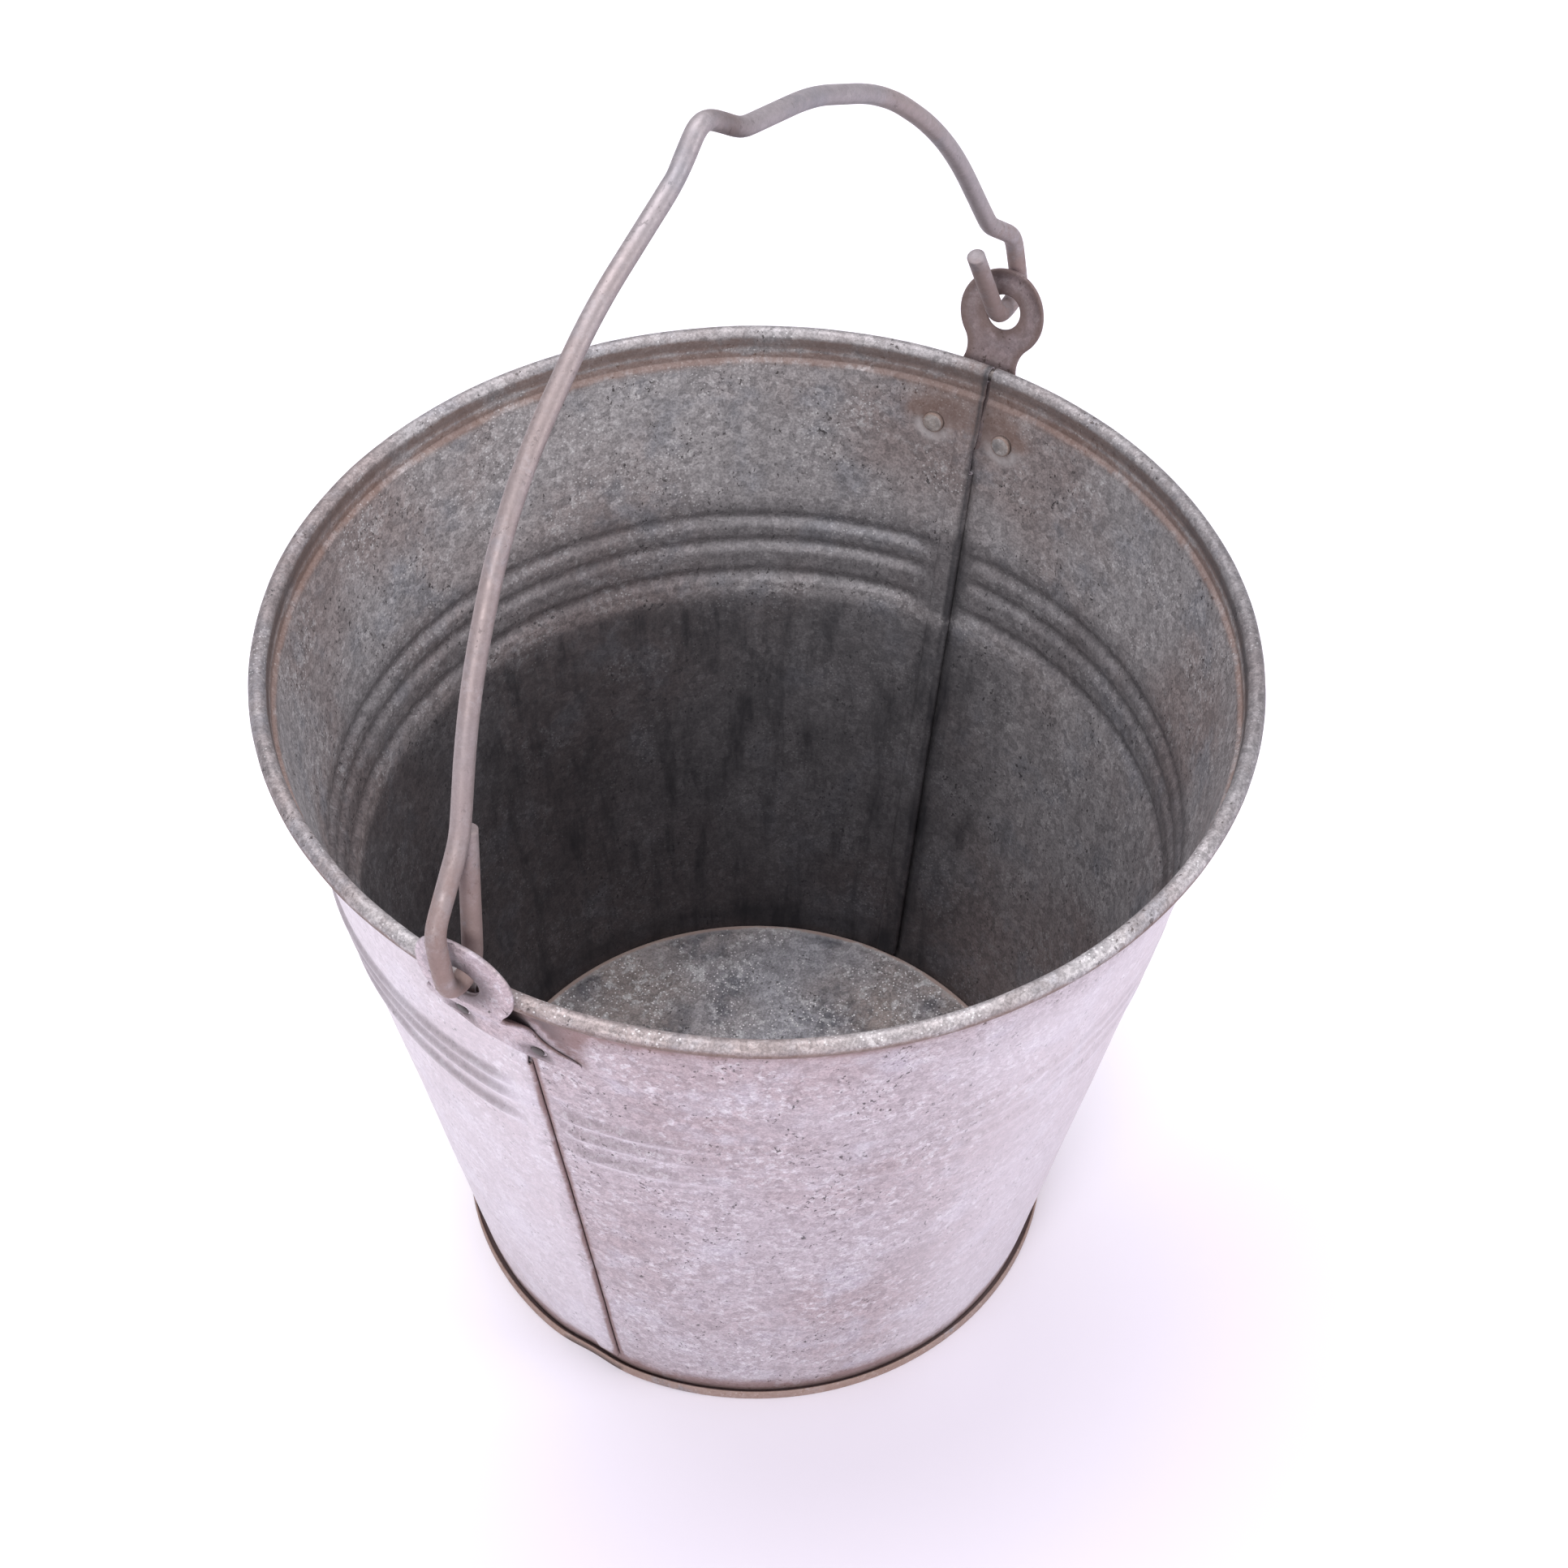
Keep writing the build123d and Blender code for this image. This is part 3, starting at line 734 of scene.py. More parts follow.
def distance_to(ring, points):
    """Distance from each point to a closed ring of close points."""
    best = np.full(len(points), 1.0)
    for a in ring:
        best = np.minimum(best, np.hypot(points[:, 0] - a[0], points[:, 1] - a[1]))
    return best


def inside(ring, points):
    """True for points inside a closed ring."""
    result = np.zeros(len(points), bool)
    for (ax, ay), (bx, by) in zip(ring, np.roll(ring, -1, axis=0)):
        crosses = (ay > points[:, 1]) != (by > points[:, 1])
        with np.errstate(divide="ignore", invalid="ignore"):
            at = (bx - ax) * (points[:, 1] - ay) / (by - ay) + ax
        result ^= crosses & (points[:, 0] < at)
    return result


def plate_triangles(rings):
    """Even triangles of a flat plate, from (points, 1) of its outline, then (points, -1) of each hole."""
    outline = rings[0][0]
    layers = []
    for ring, way in rings:
        layers.append(ring)
        for distance in (0.18 * MM, 0.5 * MM):
            layers.append(inward(ring, distance * way))
    step = 1.0 * MM
    lattice = []
    low = outline.min(axis=0)
    high = outline.max(axis=0)
    for row, y in enumerate(np.arange(low[1], high[1], step * 0.87)):
        for x in np.arange(low[0] + (row % 2) * step / 2, high[0], step):
            lattice.append((x, y))
    lattice = np.array(lattice)
    keep = inside(outline, lattice)
    for ring, way in rings:
        if way < 0:
            keep &= ~inside(ring, lattice)
        keep &= distance_to(ring, lattice) > 0.95 * MM
    flat = np.vstack(layers + [lattice[keep]])
    # Delaunay works in millimetres, where its own tolerance is small
    found = delaunay_2d_cdt([Vector(p / MM) for p in flat], [], [], 0, 1e-4)
    places = np.array([tuple(v) for v in found[0]]) * MM
    middles = np.array([places[list(face)].mean(axis=0) for face in found[2]])
    solid = inside(outline, middles)
    for ring, way in rings[1:]:
        solid &= ~inside(ring, middles)
    return places, [tuple(face) for face, good in zip(found[2], solid) if good]


def ear_plate(name, node, shape):
    """A stamped ear, bent out over the rim, with its hinge hole and two rivet holes."""
    side = shape["side"]
    hole_up = shape["hole_up"]
    fine, line_radius, line_height = ear_line(shape)
    foot = float(np.interp(shape["bottom"], line_height, fine))
    outline = ear_outline_points(shape, foot)
    # the first rivet of the right ear is on its -Y side, that of the left ear on its +Y side
    ways = (-1, 1) if side == 0 else (1, -1)
    rivets = []
    for way, level in zip(ways, RIVET_HEIGHTS[side]):
        rivets.append((way * RIVET_HALF_SPACING, float(np.interp(level, line_height, fine))))
    turn = np.radians(np.arange(0, 360, 8))
    hole = np.stack([EAR_HOLE_RADIUS * np.cos(turn), hole_up + EAR_HOLE_RADIUS * np.sin(turn)], axis=-1)
    rings = [(outline, 1), (hole, -1)]
    turn = np.radians(np.arange(0, 360, 20))
    for across, up in rivets:
        ring_across = across + RIVET_HOLE_RADIUS * np.cos(turn)
        ring_up = up + RIVET_HOLE_RADIUS * np.sin(turn)
        rings.append((np.stack([ring_across, ring_up], axis=-1), -1))
    places, triangles = plate_triangles(rings)
    edge = distance_to(outline, places)
    hole_edge = np.abs(np.hypot(places[:, 0], places[:, 1] - hole_up) - EAR_HOLE_RADIUS)
    rivet_edge = np.full(len(places), 1.0)
    for across, up in rivets:
        away = np.hypot(places[:, 0] - across, places[:, 1] - up) - RIVET_HOLE_RADIUS
        rivet_edge = np.minimum(rivet_edge, np.abs(away))
    across, up = places[:, 0], places[:, 1]
    radius = np.interp(up, fine, line_radius)
    height = np.interp(up, fine, line_height)
    slope = np.arctan2(np.gradient(line_radius, fine), np.gradient(line_height, fine))
    tilt = np.interp(up, fine, slope)
    normal = np.stack([np.cos(tilt), -np.sin(tilt)], axis=-1)

    # rounded edges, zinc that fills the lower edges, the curled head and the punched holes
    edges = np.minimum(np.minimum(edge, hole_edge), rivet_edge)
    rounding = 0.5 * MM
    full = np.sqrt(np.clip(1 - (1 - np.clip(edges / rounding, 0, 1)) ** 2, 0, 1))
    half = EAR_SHEET / 2 * (0.45 + 0.55 * full)
    # below this line the lower edge is buried in zinc
    zinc = smooth((foot + 9 * MM - up) / (4 * MM)) * fade(edge, 2.6)
    outer = half * (1 - 1.45 * zinc)
    head = climb(up - hole_up, -6, 14)
    curl = -shape["lip"] * head * fade(edge - 0.3 * MM, 3.2)
    funnel = shape["punch"] * fade(hole_edge, 3.0) * (up > 5 * MM)
    dimple = -1.1 * MM * fade(rivet_edge, 4.2) * (up < 0)
    wave = 0.12 * MM * wobble(np.stack([across, up, 0 * up], axis=-1), 9 * MM, side + 3)
    hollow = 0.35 * MM * smooth(1 - np.minimum(rivet_edge, 1) / (9 * MM)) * (up < 0)
    follow = press(np.full(len(up), float(side)), height) * smooth((-4 * MM - up) / (14 * MM))
    shift = curl + funnel + wave + hollow

    # turned round Z by the ear's offset towards +Y; the left ear is the mirror image
    mirror = 1 if side == 0 else -1
    centre = math.asin(EAR_OFFSET[side] / (EAR_RIM_RADIUS + 8 * MM))

    def place(level):
        out = radius + normal[:, 0] * level + follow
        x = np.sqrt(out ** 2 - across ** 2)
        return np.stack([
            mirror * (x * math.cos(centre) - across * math.sin(centre)),
            x * math.sin(centre) + across * math.cos(centre),
            height + normal[:, 1] * level,
        ], axis=-1)

    top = place(shift + outer + dimple)
    under = place(shift - half + 0.4 * dimple)
    count = len(places)
    vertices = np.vstack([top, under])
    faces = triangles + [tuple(v + count for v in face[::-1]) for face in triangles]
    borders = {}
    for face in triangles:
        for a, b in zip(face, face[1:] + face[:1]):
            borders[(a, b)] = borders.get((a, b), 0) + 1
    for a, b in borders:
        if (b, a) not in borders:
            faces.append((b, a, a + count, b + count))
    if side == 180:
        faces = [face[::-1] for face in faces]
    piece = add_mesh(name, vertices, faces)
    rust = 0.35 + 0.5 * bell(rivet_edge, 3 * MM) + 0.4 * bell(hole_edge, 2.5 * MM)
    rust = rust + 0.5 * bell(edge, 1.5 * MM)
    back = np.concatenate([np.zeros(count), np.ones(count)])
    wall = np.tile(smooth((-6 * MM - up) / (8 * MM)), 2)
    on_head = up > 2 * MM
    # painted shade round the hinge hole, where the dished head falls away, and in the rivet dimples, on
    # the face away from the wall; the face against the wall is darker all over
    around_hole = fade(hole_edge, 9) * climb(edge, 1.8, 2.0) * on_head
    dimples = 0.85 * bell(rivet_edge, 3.2 * MM) * (up < 0)
    dark = np.tile(dimples + shape["shade"] * around_hole, 2)
    brink = 0.8 * bell(edge, 0.7 * MM) * (up < -1 * MM) * (up > foot + 7 * MM)
    rust = rust + brink / shape["wear"]
    worn = shape["wear"] * (0.45 + 0.55 * back) * (1 - 0.6 * wall * (1 - back))
    set_attribute(piece, "rust_in", np.tile(rust, 2) * worn)
    set_attribute(piece, "grime_and_shade_in", dark * (1 - back) + 0.35 * back)
    dress(piece, shape["zinc"], 60)
    return finish_piece(piece, "pail", "ear_zinc", node)


# ---- rivets
def rivet_piece(name, node, angle, height, seed):
    """Flat round head inside the pail, shank, and a small upset end in the ear's dimple."""
    turn = math.radians(angle)
    out = wall_radius(height) + float(press(np.array([angle]), np.array([height]))[0]) + RIVET_HOLLOW
    outward = Vector((
        math.cos(turn) * math.cos(WALL_ANGLE),
        math.sin(turn) * math.cos(WALL_ANGLE),
        -math.sin(WALL_ANGLE),
    ))
    place = Vector((out * math.cos(turn), out * math.sin(turn), height))
    across = Vector((-math.sin(turn), math.cos(turn), 0))
    up = outward.cross(across)
    head = 3.6 * MM
    inner = -SHEET - 1.8 * MM
    # from the middle of the head inside the pail, over its edge and shank, to the upset end outside
    profile = [(0.0, inner + 0.05 * MM), (1.6 * MM, inner), (head - 0.9 * MM, inner + 0.05 * MM)]
    corner = 0.55 * MM
    for share in (0.25, 0.5, 0.75, 1.0):
        bend = share * math.pi / 2
        reach = head - corner + corner * math.sin(bend)
        profile.append((reach, inner + 0.6 * MM - corner * math.cos(bend)))
    profile += [
        (head + 0.05 * MM, -SHEET - 0.3 * MM),
        (head + 0.25 * MM, -SHEET + 0.15 * MM),
        (2.1 * MM, -SHEET + 0.2 * MM),
        (2.0 * MM, 0.0),
        (2.2 * MM, 0.2 * MM),
        (1.8 * MM, 0.4 * MM),
        (0.9 * MM, 0.48 * MM),
        (0.0, 0.5 * MM),
    ]
    sides = 40
    vertices = []
    for radius, level in profile:
        for i in range(sides):
            spin = 2 * math.pi * i / sides
            x = math.cos(spin)
            y = math.sin(spin)
            worn = 1 + 0.045 * noise.noise(Vector((x * 1.3, y * 1.3, seed * 5.0)))
            tilt = 0.12 * MM * math.cos(spin + seed) * (level < -SHEET - 0.6 * MM) * radius / head
            spot = place + across * (radius * worn * x) + up * (radius * worn * y)
            vertices.append(spot + outward * (level + tilt))
    piece = add_mesh(name, vertices, grid_faces(len(profile), sides, True))
    piece.data.materials.append(RIVET_ZINC)
    weld = piece.modifiers.new("weld", "WELD")
    weld.merge_threshold = 0.01 * MM
    bake_modifiers(piece, 60)
    levels = [(v.co - place).dot(outward) for v in piece.data.vertices]
    reach = [(v.co - place - outward * level).length for v, level in zip(piece.data.vertices, levels)]
    levels = np.array(levels)
    # painted shade: the upset end in its dimple is dark all over, and the head darkens towards the sheet
    # under its edge
    grime_and_shade = np.where(levels > 0, 1.0, climb(levels - inner, 0.5, 1.1))
    rust = smooth((np.array(reach) - 2.6 * MM) / (1.2 * MM))
    set_attribute(piece, "rust_in", rust)
    set_attribute(piece, "grime_and_shade_in", grime_and_shade)
    return finish_piece(piece, "pail", "rivet_zinc", node)


# ---- bail
BAIL_RADIUS = 3.0 * MM
BAIL_TILT = 7.0             # degrees that the standing bail leans towards +Y
BAIL_STEP = 1.3             # millimetres between its sections
# Corners of the bail in its own plane, in millimetres: along X, up from the hinge, and the bend radius.
BAIL_CORNERS = [
    (-139.6, 44.9, 0),      # free end inside the left ear
    (-150.8, 0, 5.5),
    (-163.3, 0, 5.5),
    (-162.3, 24.8, 9),      # joggle outside the left ear
    (-143.5, 44.4, 22),
    (-127.1, 83.6, 180),
    (-96, 126, 120),
    (-48.1, 152.3, 130),
    (-1.2, 165.3, 50),
    (13.1, 175.1, 7),       # kink that keeps the hand in the middle
    (31.2, 159.6, 10),
    (67.1, 147.1, 105),
    (105.2, 123.8, 125),
    (138.2, 86.6, 160),
    (159.4, 38.3, 9),       # joggle outside the right ear
    (174.3, 24.1, 9),
    (176.1, 0, 5.5),
    (160.3, 0, 5.5),
    (149.5, 32.9, 0),       # free end inside the right ear
]


def rounded_path(corners, step):
    """Even points along straight runs joined by arcs, in a plane."""
    points = [Vector((c[0], c[1])) for c in corners]
    dense = [points[0]]
    radii = [c[2] for c in corners[1:-1]]
    for before, corner, after, radius in zip(points[:-2], points[1:-1], points[2:], radii):
        into = (corner - before).normalized()
        out = (after - corner).normalized()
        turn = into.angle(out)
        reach = radius * math.tan(turn / 2)
        start = corner - into * reach
        centre_way = (out - into).normalized()
        centre = corner + centre_way * (radius / math.cos(turn / 2))
        arm = start - centre
        way = 1 if into.x * out.y - into.y * out.x > 0 else -1
        pieces = max(2, int(math.ceil(radius * turn / step)))
        for i in range(pieces + 1):
            spin = way * turn * i / pieces
            dense.append(centre + Vector((
                arm.x * math.cos(spin) - arm.y * math.sin(spin),
                arm.x * math.sin(spin) + arm.y * math.cos(spin),
            )))
    dense.append(points[-1])
    path = np.array([tuple(p) for p in dense])
    lengths = path_lengths(path)
    return points_along(path, lengths, np.linspace(0, lengths[-1], int(lengths[-1] / step)))


def wire_bail():
    """Bare wire bail with soft hand-made bends, pinch marks at the kink and cut ends."""
    flat = rounded_path(BAIL_CORNERS, BAIL_STEP)
    for repeat in range(6):
        flat[1:-1] = flat[1:-1] * 0.5 + (flat[:-2] + flat[2:]) * 0.25
    flat = flat * MM
    tilt = math.radians(BAIL_TILT)
    square = np.cross(HINGE_LINE, (0, 1, 0))
    up = math.sin(tilt) * np.array([0.0, 1.0, 0.0]) + math.cos(tilt) * square
    level = math.cos(tilt) * np.array([0.0, 1.0, 0.0]) - math.sin(tilt) * square
    points = HINGE[None, :] + flat[:, 0:1] * HINGE_LINE + flat[:, 1:2] * up
    sway = 0.25 * MM * wobble(flat[:, 0:1] * np.array([[1.0, 0.0, 0.0]]), 60 * MM, 8)
    clear = climb(flat[:, 1], 45, 30)
    points = points + (sway * clear)[:, None] * level
    sides = 28
    count = len(points)
    along = np.arange(count) * BAIL_STEP * MM
    spin = np.arange(sides) * 2 * math.pi / sides
    radii = np.full((count, sides), BAIL_RADIUS)
    for i in range(count):
        for j in range(sides):
            spot = Vector((along[i] / (14 * MM), math.cos(spin[j]) * 0.7, math.sin(spin[j]) * 0.7))
            radii[i, j] += 0.07 * MM * noise.noise(spot)
    for pinch in (-2.0, 17.0, 27.0):
        near = bell(flat[:, 0] - pinch * MM, 3.0 * MM) * (flat[:, 1] > 140 * MM)
        radii -= near[:, None] * 0.28 * MM * np.clip(np.cos(spin - 0.6), 0, 1)[None, :] ** 2
    radii = np.minimum(radii, BAIL_RADIUS)
    vertices, faces = sweep_ring(points, sides, radii, level, False)
    vertices = list(map(tuple, vertices))
    # cut ends, a little domed
    for end, inner in ((0, 1), (count - 1, count - 2)):
        centre = points[end]
        outward = points[end] - points[inner]
        outward = outward / np.linalg.norm(outward)
        ring = [end * sides + i for i in range(sides)]
        arms = [np.array(vertices[i]) - centre for i in ring]
        for share, lift in ((0.93, 0.22 * MM), (0.8, 0.32 * MM), (0.4, 0.42 * MM)):
            fresh = list(range(len(vertices), len(vertices) + sides))
            vertices += [tuple(centre + arm * share + outward * lift) for arm in arms]
            for i in range(sides):
                j = (i + 1) % sides
                quad = (ring[i], ring[j], fresh[j], fresh[i])
                faces.append(quad if end else quad[::-1])
            ring = fresh
        tip = len(vertices)
        vertices.append(tuple(centre + outward * 0.45 * MM))
        for i in range(sides):
            j = (i + 1) % sides
            faces.append((ring[i], ring[j], tip) if end else (ring[j], ring[i], tip))
    piece = add_mesh("wire_bail", vertices, faces)
    dress(piece, BAIL_ZINC, 50)
    points = np.array([tuple(v.co) for v in piece.data.vertices])
    above = points[:, 2] - HINGE[2]
    kink = points[:, 0] - 20 * MM
    on_top = above > 120 * MM
    rust = 0.06 + 0.85 * fade(above, 70) + 0.35 * bell(kink, 9 * MM) * on_top
    set_attribute(piece, "rust_in", rust)
    set_attribute(piece, "grime_and_shade_in", 0.5 * bell(kink, 7 * MM) * on_top)
    return finish_piece(piece, "bail", "bail_wire", "bail")


# ---- materials
def paint(red, green, blue):
    """A colour given as 0 to 255 screen values."""
    channels = []
    for value in (red, green, blue):
        share = value / 255
        channels.append(share / 12.92 if share <= 0.04045 else ((share + 0.055) / 1.055) ** 2.4)
    return (*channels, 1.0)


GRAIN_SHADE = (0.03, 0.027, 0.03, 1)
PIT_SHADE = (0.03, 0.025, 0.025, 1)
BRIGHT_ZINC = (0.80, 0.79, 0.80, 1)


class Material:
    """A node material whose patterns lie in the frame's own space and run on from piece to piece."""

    def __init__(self, name):
        self.material = bpy.data.materials.new(name)
        self.material.use_nodes = True
        self.nodes = self.material.node_tree.nodes
        self.links = self.material.node_tree.links
        self.shader = next(n for n in self.nodes if n.type == "BSDF_PRINCIPLED")
        self.space = self.nodes.new("ShaderNodeTexCoord").outputs["Object"]

    def put(self, socket, value):
        if isinstance(value, bpy.types.NodeSocket):
            self.links.new(value, socket)
        else:
            socket.default_value = value

    def noise(self, size, detail=4.0, roughness=0.55, stretch=None, offset=0.0):
        """Noise with features of about that size in metres."""
        node = self.nodes.new("ShaderNodeTexNoise")
        node.inputs["Scale"].default_value = 1 / size
        node.inputs["Detail"].default_value = detail
        node.inputs["Roughness"].default_value = roughness
        self.links.new(self.mapped(stretch, offset), node.inputs["Vector"])
        return node.outputs["Fac"]

    def mapped(self, stretch, offset):
        if stretch is None and offset == 0.0:
            return self.space
        node = self.nodes.new("ShaderNodeMapping")
        node.inputs["Scale"].default_value = stretch or (1, 1, 1)
        node.inputs["Location"].default_value = (offset, offset * 0.7, offset * 1.3)
        self.links.new(self.space, node.inputs["Vector"])
        return node.outputs["Vector"]

    def cells(self, size, output="Distance", offset=0.0):
        node = self.nodes.new("ShaderNodeTexVoronoi")
        node.inputs["Scale"].default_value = 1 / size
        self.links.new(self.mapped(None, offset), node.inputs["Vector"])
        return node.outputs[output]

    def ramp(self, value, low, high, start=0.0, end=1.0):
        """start below low, end above high, and an even change between them."""
        node = self.nodes.new("ShaderNodeMapRange")
        node.interpolation_type = "SMOOTHSTEP"
        self.put(node.inputs["Value"], value)
        node.inputs["From Min"].default_value = low
        node.inputs["From Max"].default_value = high
        node.inputs["To Min"].default_value = start
        node.inputs["To Max"].default_value = end
        return node.outputs["Result"]

    def math(self, operation, a, b=0.0):
        node = self.nodes.new("ShaderNodeMath")
        node.operation = operation
        node.use_clamp = operation == "ADD"
        self.put(node.inputs[0], a)
        self.put(node.inputs[1], b)
        return node.outputs[0]

    def times(self, a, b):
        return self.math("MULTIPLY", a, b)

    def mix(self, share, a, b, blend="MIX"):
        node = self.nodes.new("ShaderNodeMix")
        node.data_type = "RGBA"
        node.blend_type = blend
        for socket, value in ((0, share), (6, a), (7, b)):
            self.put(node.inputs[socket], value)
        return node.outputs[2]

    def grey(self, colour):
        """One channel of a colour, as a grey that tints nothing."""
        node = self.nodes.new("ShaderNodeSeparateColor")
        self.links.new(colour, node.inputs["Color"])
        return node.outputs["Red"]

    def attribute(self, name):
        node = self.nodes.new("ShaderNodeAttribute")
        node.attribute_name = name
        return node.outputs["Fac"]

    def bump(self, height, depth, strength=1.0, normal=None):
        node = self.nodes.new("ShaderNodeBump")
        node.inputs["Distance"].default_value = depth
        node.inputs["Strength"].default_value = strength
        self.links.new(height, node.inputs["Height"])
        if normal is not None:
            self.links.new(normal, node.inputs["Normal"])
        return node.outputs["Normal"]

    def done(self, colour, roughness, metallic, normal):
        self.put(self.shader.inputs["Base Color"], colour)
        self.put(self.shader.inputs["Roughness"], roughness)
        self.put(self.shader.inputs["Metallic"], metallic)
        self.links.new(normal, self.shader.inputs["Normal"])
        return self.material


def zinc(name, dull, pale, brown, blue, rust_colour, grime_and_shade_colour, flakes, metallic,
         side="in", rust_gain=1.0, specks=0.5, speck_area=0.50, drips=0.0, contrast=1.0):
    """Weathered hot-dip zinc: mottled dull ground, pale frost flakes, fine grain, pits, rust, and grime
    with painted shade.

    The pale, rust and grime attributes, ending in _in or _out, say where those lie; the pale ones carry
    painted highlights too, and the grime ones painted shade.
    """
    m = Material(name)
    broad = m.noise(90 * MM, 3.0)
    patch = m.noise(24 * MM, 6.0, 0.62, offset=3.0)
    frost = m.noise(3.0 * MM, 7.0, 0.70)
    frost_area = m.noise(20 * MM, 4.0, 0.6, offset=7.0)
    grain = m.noise(0.9 * MM, 4.0, 0.7, offset=31.0)
    spangle = m.cells(2.4 * MM, output="Color")
    pits = m.noise(1.5 * MM, 2.0, 0.6, stretch=(1, 1, 0.7), offset=11.0)
    pit_area = m.noise(16 * MM, 4.0, 0.6, offset=17.0)
    dots = m.cells(1.5 * MM, offset=23.0)
    streak = m.noise(7 * MM, 6.0, 0.65, stretch=(1, 1, 0.05), offset=5.0)

    pale = paint(*pale)
    ground = m.mix(m.ramp(broad, 0.38, 0.62), paint(*dull), paint(*brown))
    ground = m.mix(m.ramp(patch, 0.50, 0.68, 0.0, 0.7), ground, paint(*blue))
    flake = m.times(m.ramp(frost, 0.50, 0.60), m.ramp(frost_area, 0.38, 0.60, 0.15, 1.0))
    colour = m.mix(m.times(flake, flakes), ground, pale)
    colour = m.mix(0.16 * contrast, colour, m.grey(spangle), "OVERLAY")
    colour = m.mix(m.ramp(grain, 0.35, 0.65, 0.30 * contrast, 0.0), colour, GRAIN_SHADE)
    pit = m.times(m.ramp(pits, 0.62, 0.67), m.ramp(pit_area, 0.46, 0.60, 0.05, 1.0))
    colour = m.mix(m.times(pit, 0.8 * min(contrast, 1.0)), colour, PIT_SHADE)
    dot = m.ramp(dots, 0.16, 0.26, 1.0, 0.0)
    dot = m.times(dot, m.ramp(frost_area, speck_area, speck_area + 0.12))
    colour = m.mix(m.times(dot, specks), colour, BRIGHT_ZINC)

    colour = m.mix(m.attribute("pale_" + side), colour, pale)
    rust_mask = m.attribute("rust_" + side)
    rust_spread = m.times(rust_mask, m.ramp(patch, 0.30, 0.60, 0.45, 1.25))
    rust_grain = m.times(m.ramp(frost, 0.35, 0.65, -0.22, 0.18), rust_mask)
    rust_edge = m.math("ADD", rust_spread, rust_grain)
    rust = m.ramp(rust_edge, 0.12, 0.85, 0.0, 0.85 * rust_gain)
    colour = m.mix(rust, colour, paint(*rust_colour))
    grime_and_shade_mask = m.attribute("grime_and_shade_" + side)
    grime_and_shade = m.times(grime_and_shade_mask, m.ramp(patch, 0.25, 0.70, 1.0, 0.75))
    if drips:
        runs = m.times(m.attribute("drips"), m.ramp(streak, 0.45, 0.72, 0.0, drips))
        grime_and_shade = m.math("ADD", grime_and_shade, runs)
    colour = m.mix(grime_and_shade, colour, paint(*grime_and_shade_colour))

    rough = m.ramp(frost, 0.35, 0.65, 0.48, 0.62)
    rough = m.math("ADD", rough, m.times(rust, 0.25))
    metal = m.times(m.ramp(rust, 0.0, 0.8, 1.0, 0.35), metallic)
    normal = m.bump(frost, 0.10 * MM, 0.5)
    normal = m.bump(grain, 0.05 * MM, 0.5, normal)
    normal = m.bump(m.math("SUBTRACT", 1.0, pit), 0.10 * MM, 0.6, normal)
    return m.done(colour, rough, metal, normal)


OUTSIDE_ZINC = zinc(
    "zinc_outside",
    dull=(191, 181, 187), pale=(226, 221, 227), brown=(180, 165, 169), blue=(202, 197, 206),
    rust_colour=(124, 96, 92), grime_and_shade_colour=(92, 82, 84),
    flakes=0.72, metallic=0.42, side="out", rust_gain=0.95, specks=0.25,
)
INSIDE_ZINC = zinc(
    "zinc_inside",
    dull=(180, 176, 178), pale=(214, 210, 212), brown=(166, 154, 153), blue=(156, 157, 164),
    rust_colour=(116, 88, 76), grime_and_shade_colour=(58, 57, 61),
    flakes=0.55, metallic=0.40, rust_gain=0.85, specks=0.65, speck_area=0.47, drips=0.22, contrast=1.4,
)
FLOOR_ZINC = zinc(
    "zinc_floor",
    dull=(168, 167, 173), pale=(230, 230, 232), brown=(158, 147, 143), blue=(78, 81, 92),
    rust_colour=(156, 127, 114), grime_and_shade_colour=(44, 40, 40),
    flakes=0.60, metallic=0.45, rust_gain=0.9, specks=0.95, speck_area=0.42, contrast=1.4,
)
EAR_ZINC = zinc(
    "zinc_ear",
    dull=(166, 150, 154), pale=(208, 200, 206), brown=(156, 136, 134), blue=(158, 151, 159),
    rust_colour=(112, 90, 84), grime_and_shade_colour=(44, 36, 36),
    flakes=0.55, metallic=0.45, rust_gain=0.9, specks=0.25,
)
PALE_EAR_ZINC = zinc(
    "zinc_ear_pale",
    dull=(188, 175, 182), pale=(220, 214, 221), brown=(184, 168, 172), blue=(184, 178, 188),
    rust_colour=(140, 112, 104), grime_and_shade_colour=(66, 54, 56),
    flakes=0.60, metallic=0.40, rust_gain=0.85, specks=0.25,
)
RIVET_ZINC = zinc(
    "zinc_rivet",
    dull=(186, 181, 181), pale=(214, 209, 208), brown=(178, 168, 163), blue=(170, 170, 175),
    rust_colour=(116, 88, 74), grime_and_shade_colour=(34, 27, 26),
    flakes=0.45, metallic=0.60, rust_gain=0.8, specks=0.2,
)
BAIL_ZINC = zinc(
    "zinc_bail",
    dull=(154, 147, 150), pale=(176, 169, 172), brown=(150, 137, 136), blue=(140, 138, 144),
    rust_colour=(120, 90, 80), grime_and_shade_colour=(66, 56, 54),
    flakes=0.35, metallic=0.50, rust_gain=0.7, specks=0.0, contrast=0.35,
)


def wire_steel():
    """Drawn wire with lengthwise die lines and brown age."""
    m = Material("steel_wire")
    lines = m.noise(0.5 * MM, 2.0, stretch=(1, 1, 8))
    age = m.noise(9 * MM, 4.0)
    colour = m.mix(m.ramp(age, 0.4, 0.65), paint(110, 104, 102), paint(92, 68, 54))
    rough = m.ramp(age, 0.3, 0.7, 0.45, 0.7)
    metal = m.ramp(age, 0.4, 0.65, 0.9, 0.3)
    return m.done(colour, rough, metal, m.bump(lines, 0.05 * MM))


WIRE_STEEL = wire_steel()


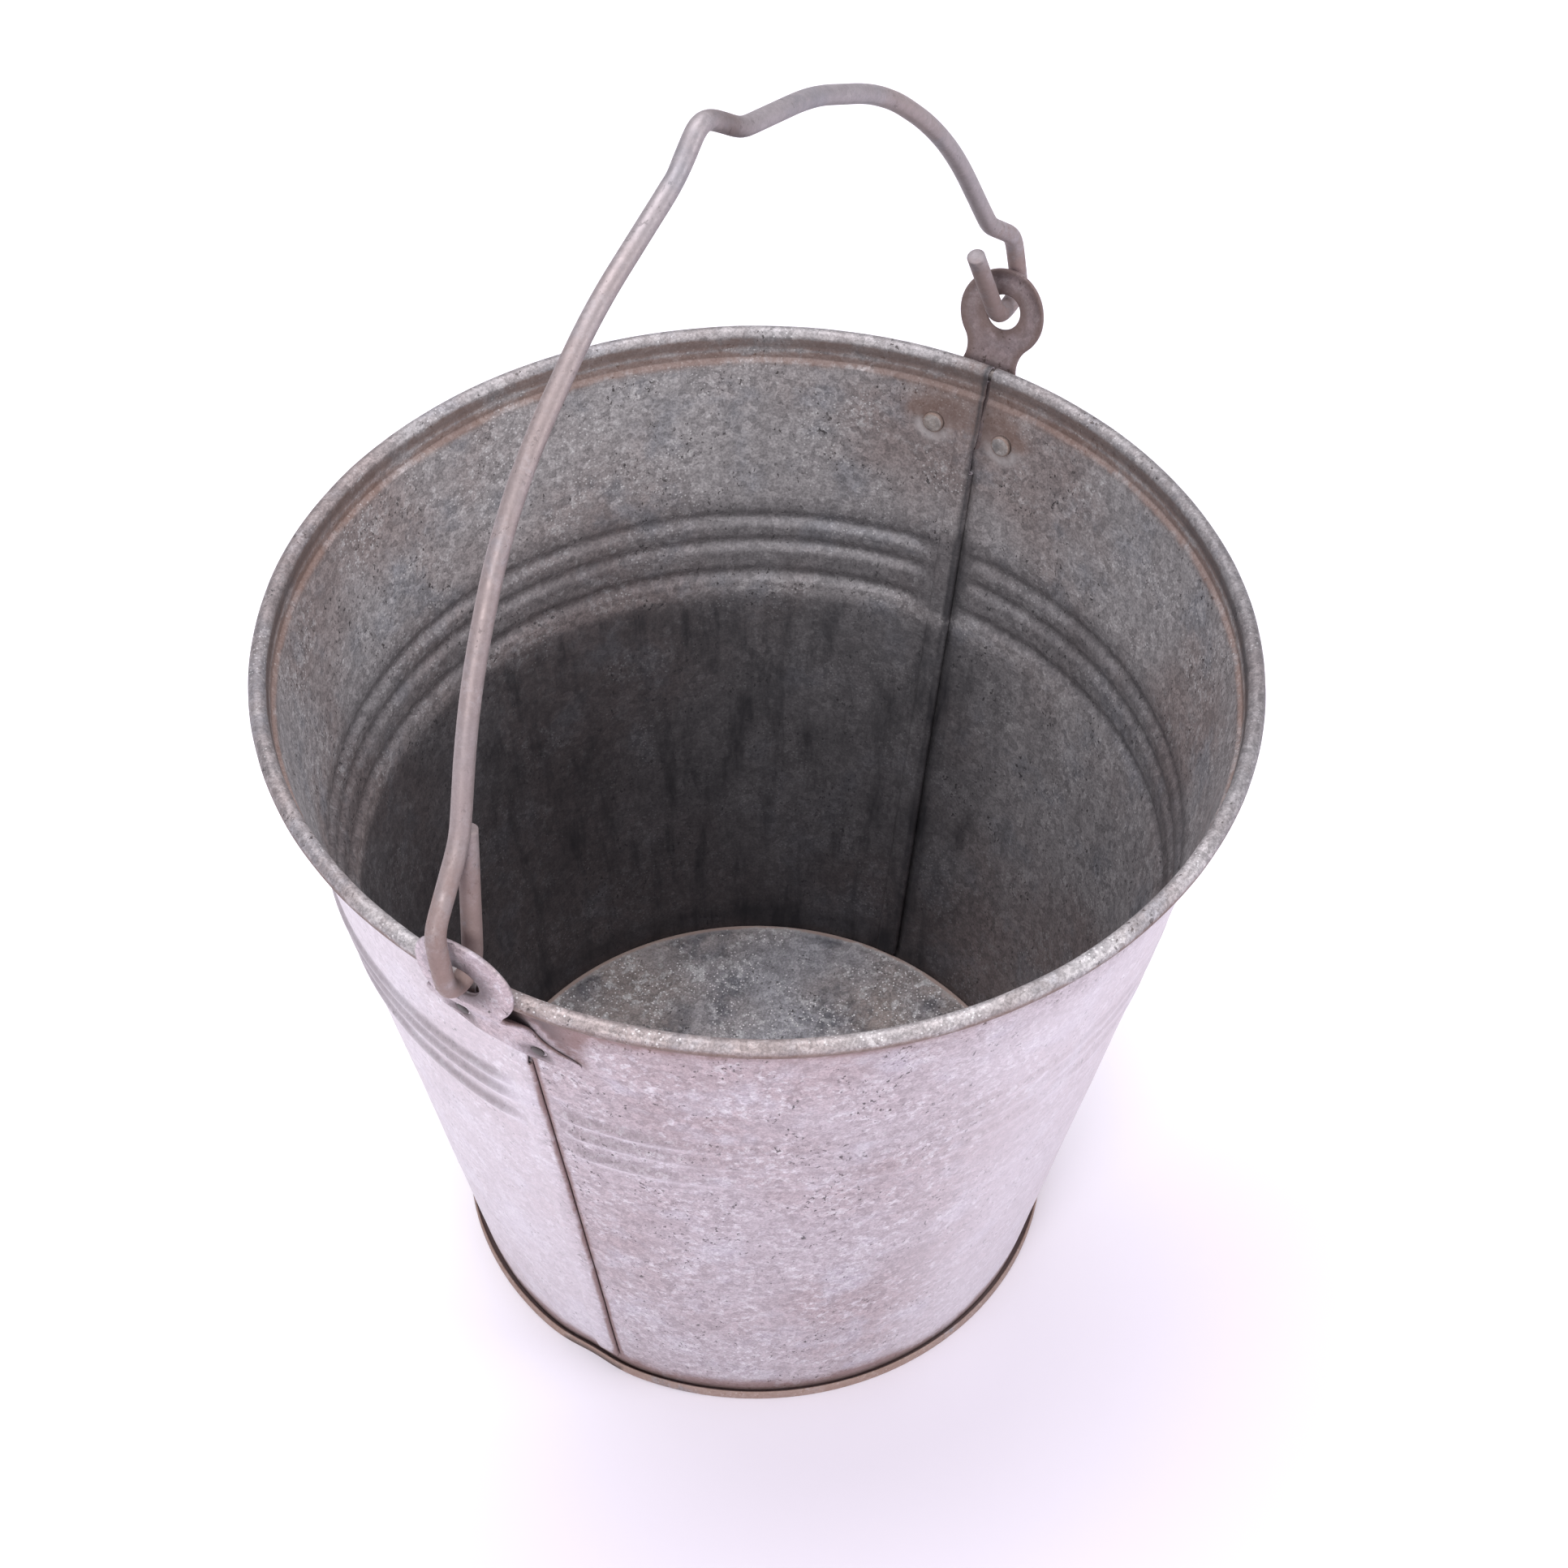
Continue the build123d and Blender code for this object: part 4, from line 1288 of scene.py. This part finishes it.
# ---- stage
SKY = (0.93, 0.93, 1.0, 1)
FLOOR_PALE = (0.93, 0.91, 0.95, 1)
FLOOR_GREY = (0.90, 0.88, 0.93, 1)
FLOOR_SHADE = (0.67, 0.625, 0.70, 1)
FLOOR_GLOW = (0.95, 0.92, 1.0, 1)
CAMERA_PLACE = Vector((-0.6089, -0.3551, 0.9883))
CAMERA_FORWARD = Vector((0.58013, 0.32927, -0.74501))
CAMERA_ROLL = 0.0150
LENS = 76.29
SENSOR = 36.0


def add_camera():
    data = bpy.data.cameras.new("camera")
    data.lens = LENS
    data.sensor_width = SENSOR
    camera = bpy.data.objects.new("camera", data)
    bpy.context.scene.collection.objects.link(camera)
    forward = CAMERA_FORWARD.normalized()
    level = forward.cross(Vector((0, 0, 1))).normalized()
    upright = level.cross(forward)
    right = level * math.cos(CAMERA_ROLL) + upright * math.sin(CAMERA_ROLL)
    up = right.cross(forward)
    turn = Matrix((right, up, -forward)).transposed()
    camera.matrix_world = Matrix.Translation(CAMERA_PLACE) @ turn.to_4x4()
    bpy.context.scene.camera = camera


def add_softbox(name, place, aim, size, power, colour):
    data = bpy.data.lights.new(name, "AREA")
    data.shape = "DISK"
    data.size = size
    data.energy = power
    data.color = colour
    lamp = bpy.data.objects.new(name, data)
    bpy.context.scene.collection.objects.link(lamp)
    lamp.location = place
    lamp.rotation_euler = (Vector(aim) - Vector(place)).to_track_quat("-Z", "Y").to_euler()


def add_world():
    world = bpy.data.worlds.new("studio")
    world.use_nodes = True
    back = world.node_tree.nodes["Background"]
    back.inputs["Color"].default_value = SKY
    back.inputs["Strength"].default_value = 0.50
    bpy.context.scene.world = world


def add_floor():
    size = 6.0
    corners = [(-size, -size, 0), (size, -size, 0), (size, size, 0), (-size, size, 0)]
    floor = add_mesh("floor", corners, [(0, 1, 2, 3)])
    m = Material("pale_floor")
    shade = m.noise(0.9, 2.0)
    colour = m.mix(m.ramp(shade, 0.35, 0.65), FLOOR_GREY, FLOOR_PALE)
    apart = m.nodes.new("ShaderNodeSeparateXYZ")
    m.links.new(m.space, apart.inputs["Vector"])
    # painted shade on the floor: darker towards -X and -Y
    slope = m.math("SUBTRACT", m.times(apart.outputs["X"], -0.60), apart.outputs["Y"])
    colour = m.mix(m.ramp(slope, -0.08, 0.16), colour, FLOOR_SHADE)
    m.put(m.shader.inputs["Base Color"], colour)
    m.shader.inputs["Roughness"].default_value = 0.9
    m.shader.inputs["Emission Color"].default_value = FLOOR_GLOW
    m.shader.inputs["Emission Strength"].default_value = 0.17
    floor.data.materials.append(m.material)


# ---- build
add_camera()
add_world()
add_floor()
add_softbox("overhead", (0.25, 0.35, 1.9), (0, 0, 0.1), 1.5, 30, (1.0, 0.98, 1.0))
add_softbox("front", (-1.75, -0.35, 1.2), (0, 0, 0.15), 1.0, 25, (1.0, 0.98, 0.985))
add_softbox("side", (0.45, -1.9, 1.0), (0, 0, 0.15), 0.9, 18, (1.0, 0.985, 1.0))

body_half("zinc_body_back", 0, "body_sheet_back")
body_half("zinc_body_front", 180, "body_sheet_front")
bottom_pan()
rim_bead()
for word, shape in zip(("right", "left"), ear_shapes()):
    ear_plate(f"ear_{word}_plate", f"ear_{word}", shape)
for side, word in ((0, "right"), (180, "left")):
    for number, (angle, height) in enumerate(rivet_spots(side), 1):
        rivet = f"rivet_{word}_{number}"
        rivet_piece(rivet + "_set", rivet, angle, height, number + side / 90)
wire_bail()

bpy.context.scene.view_settings.view_transform = "Standard"
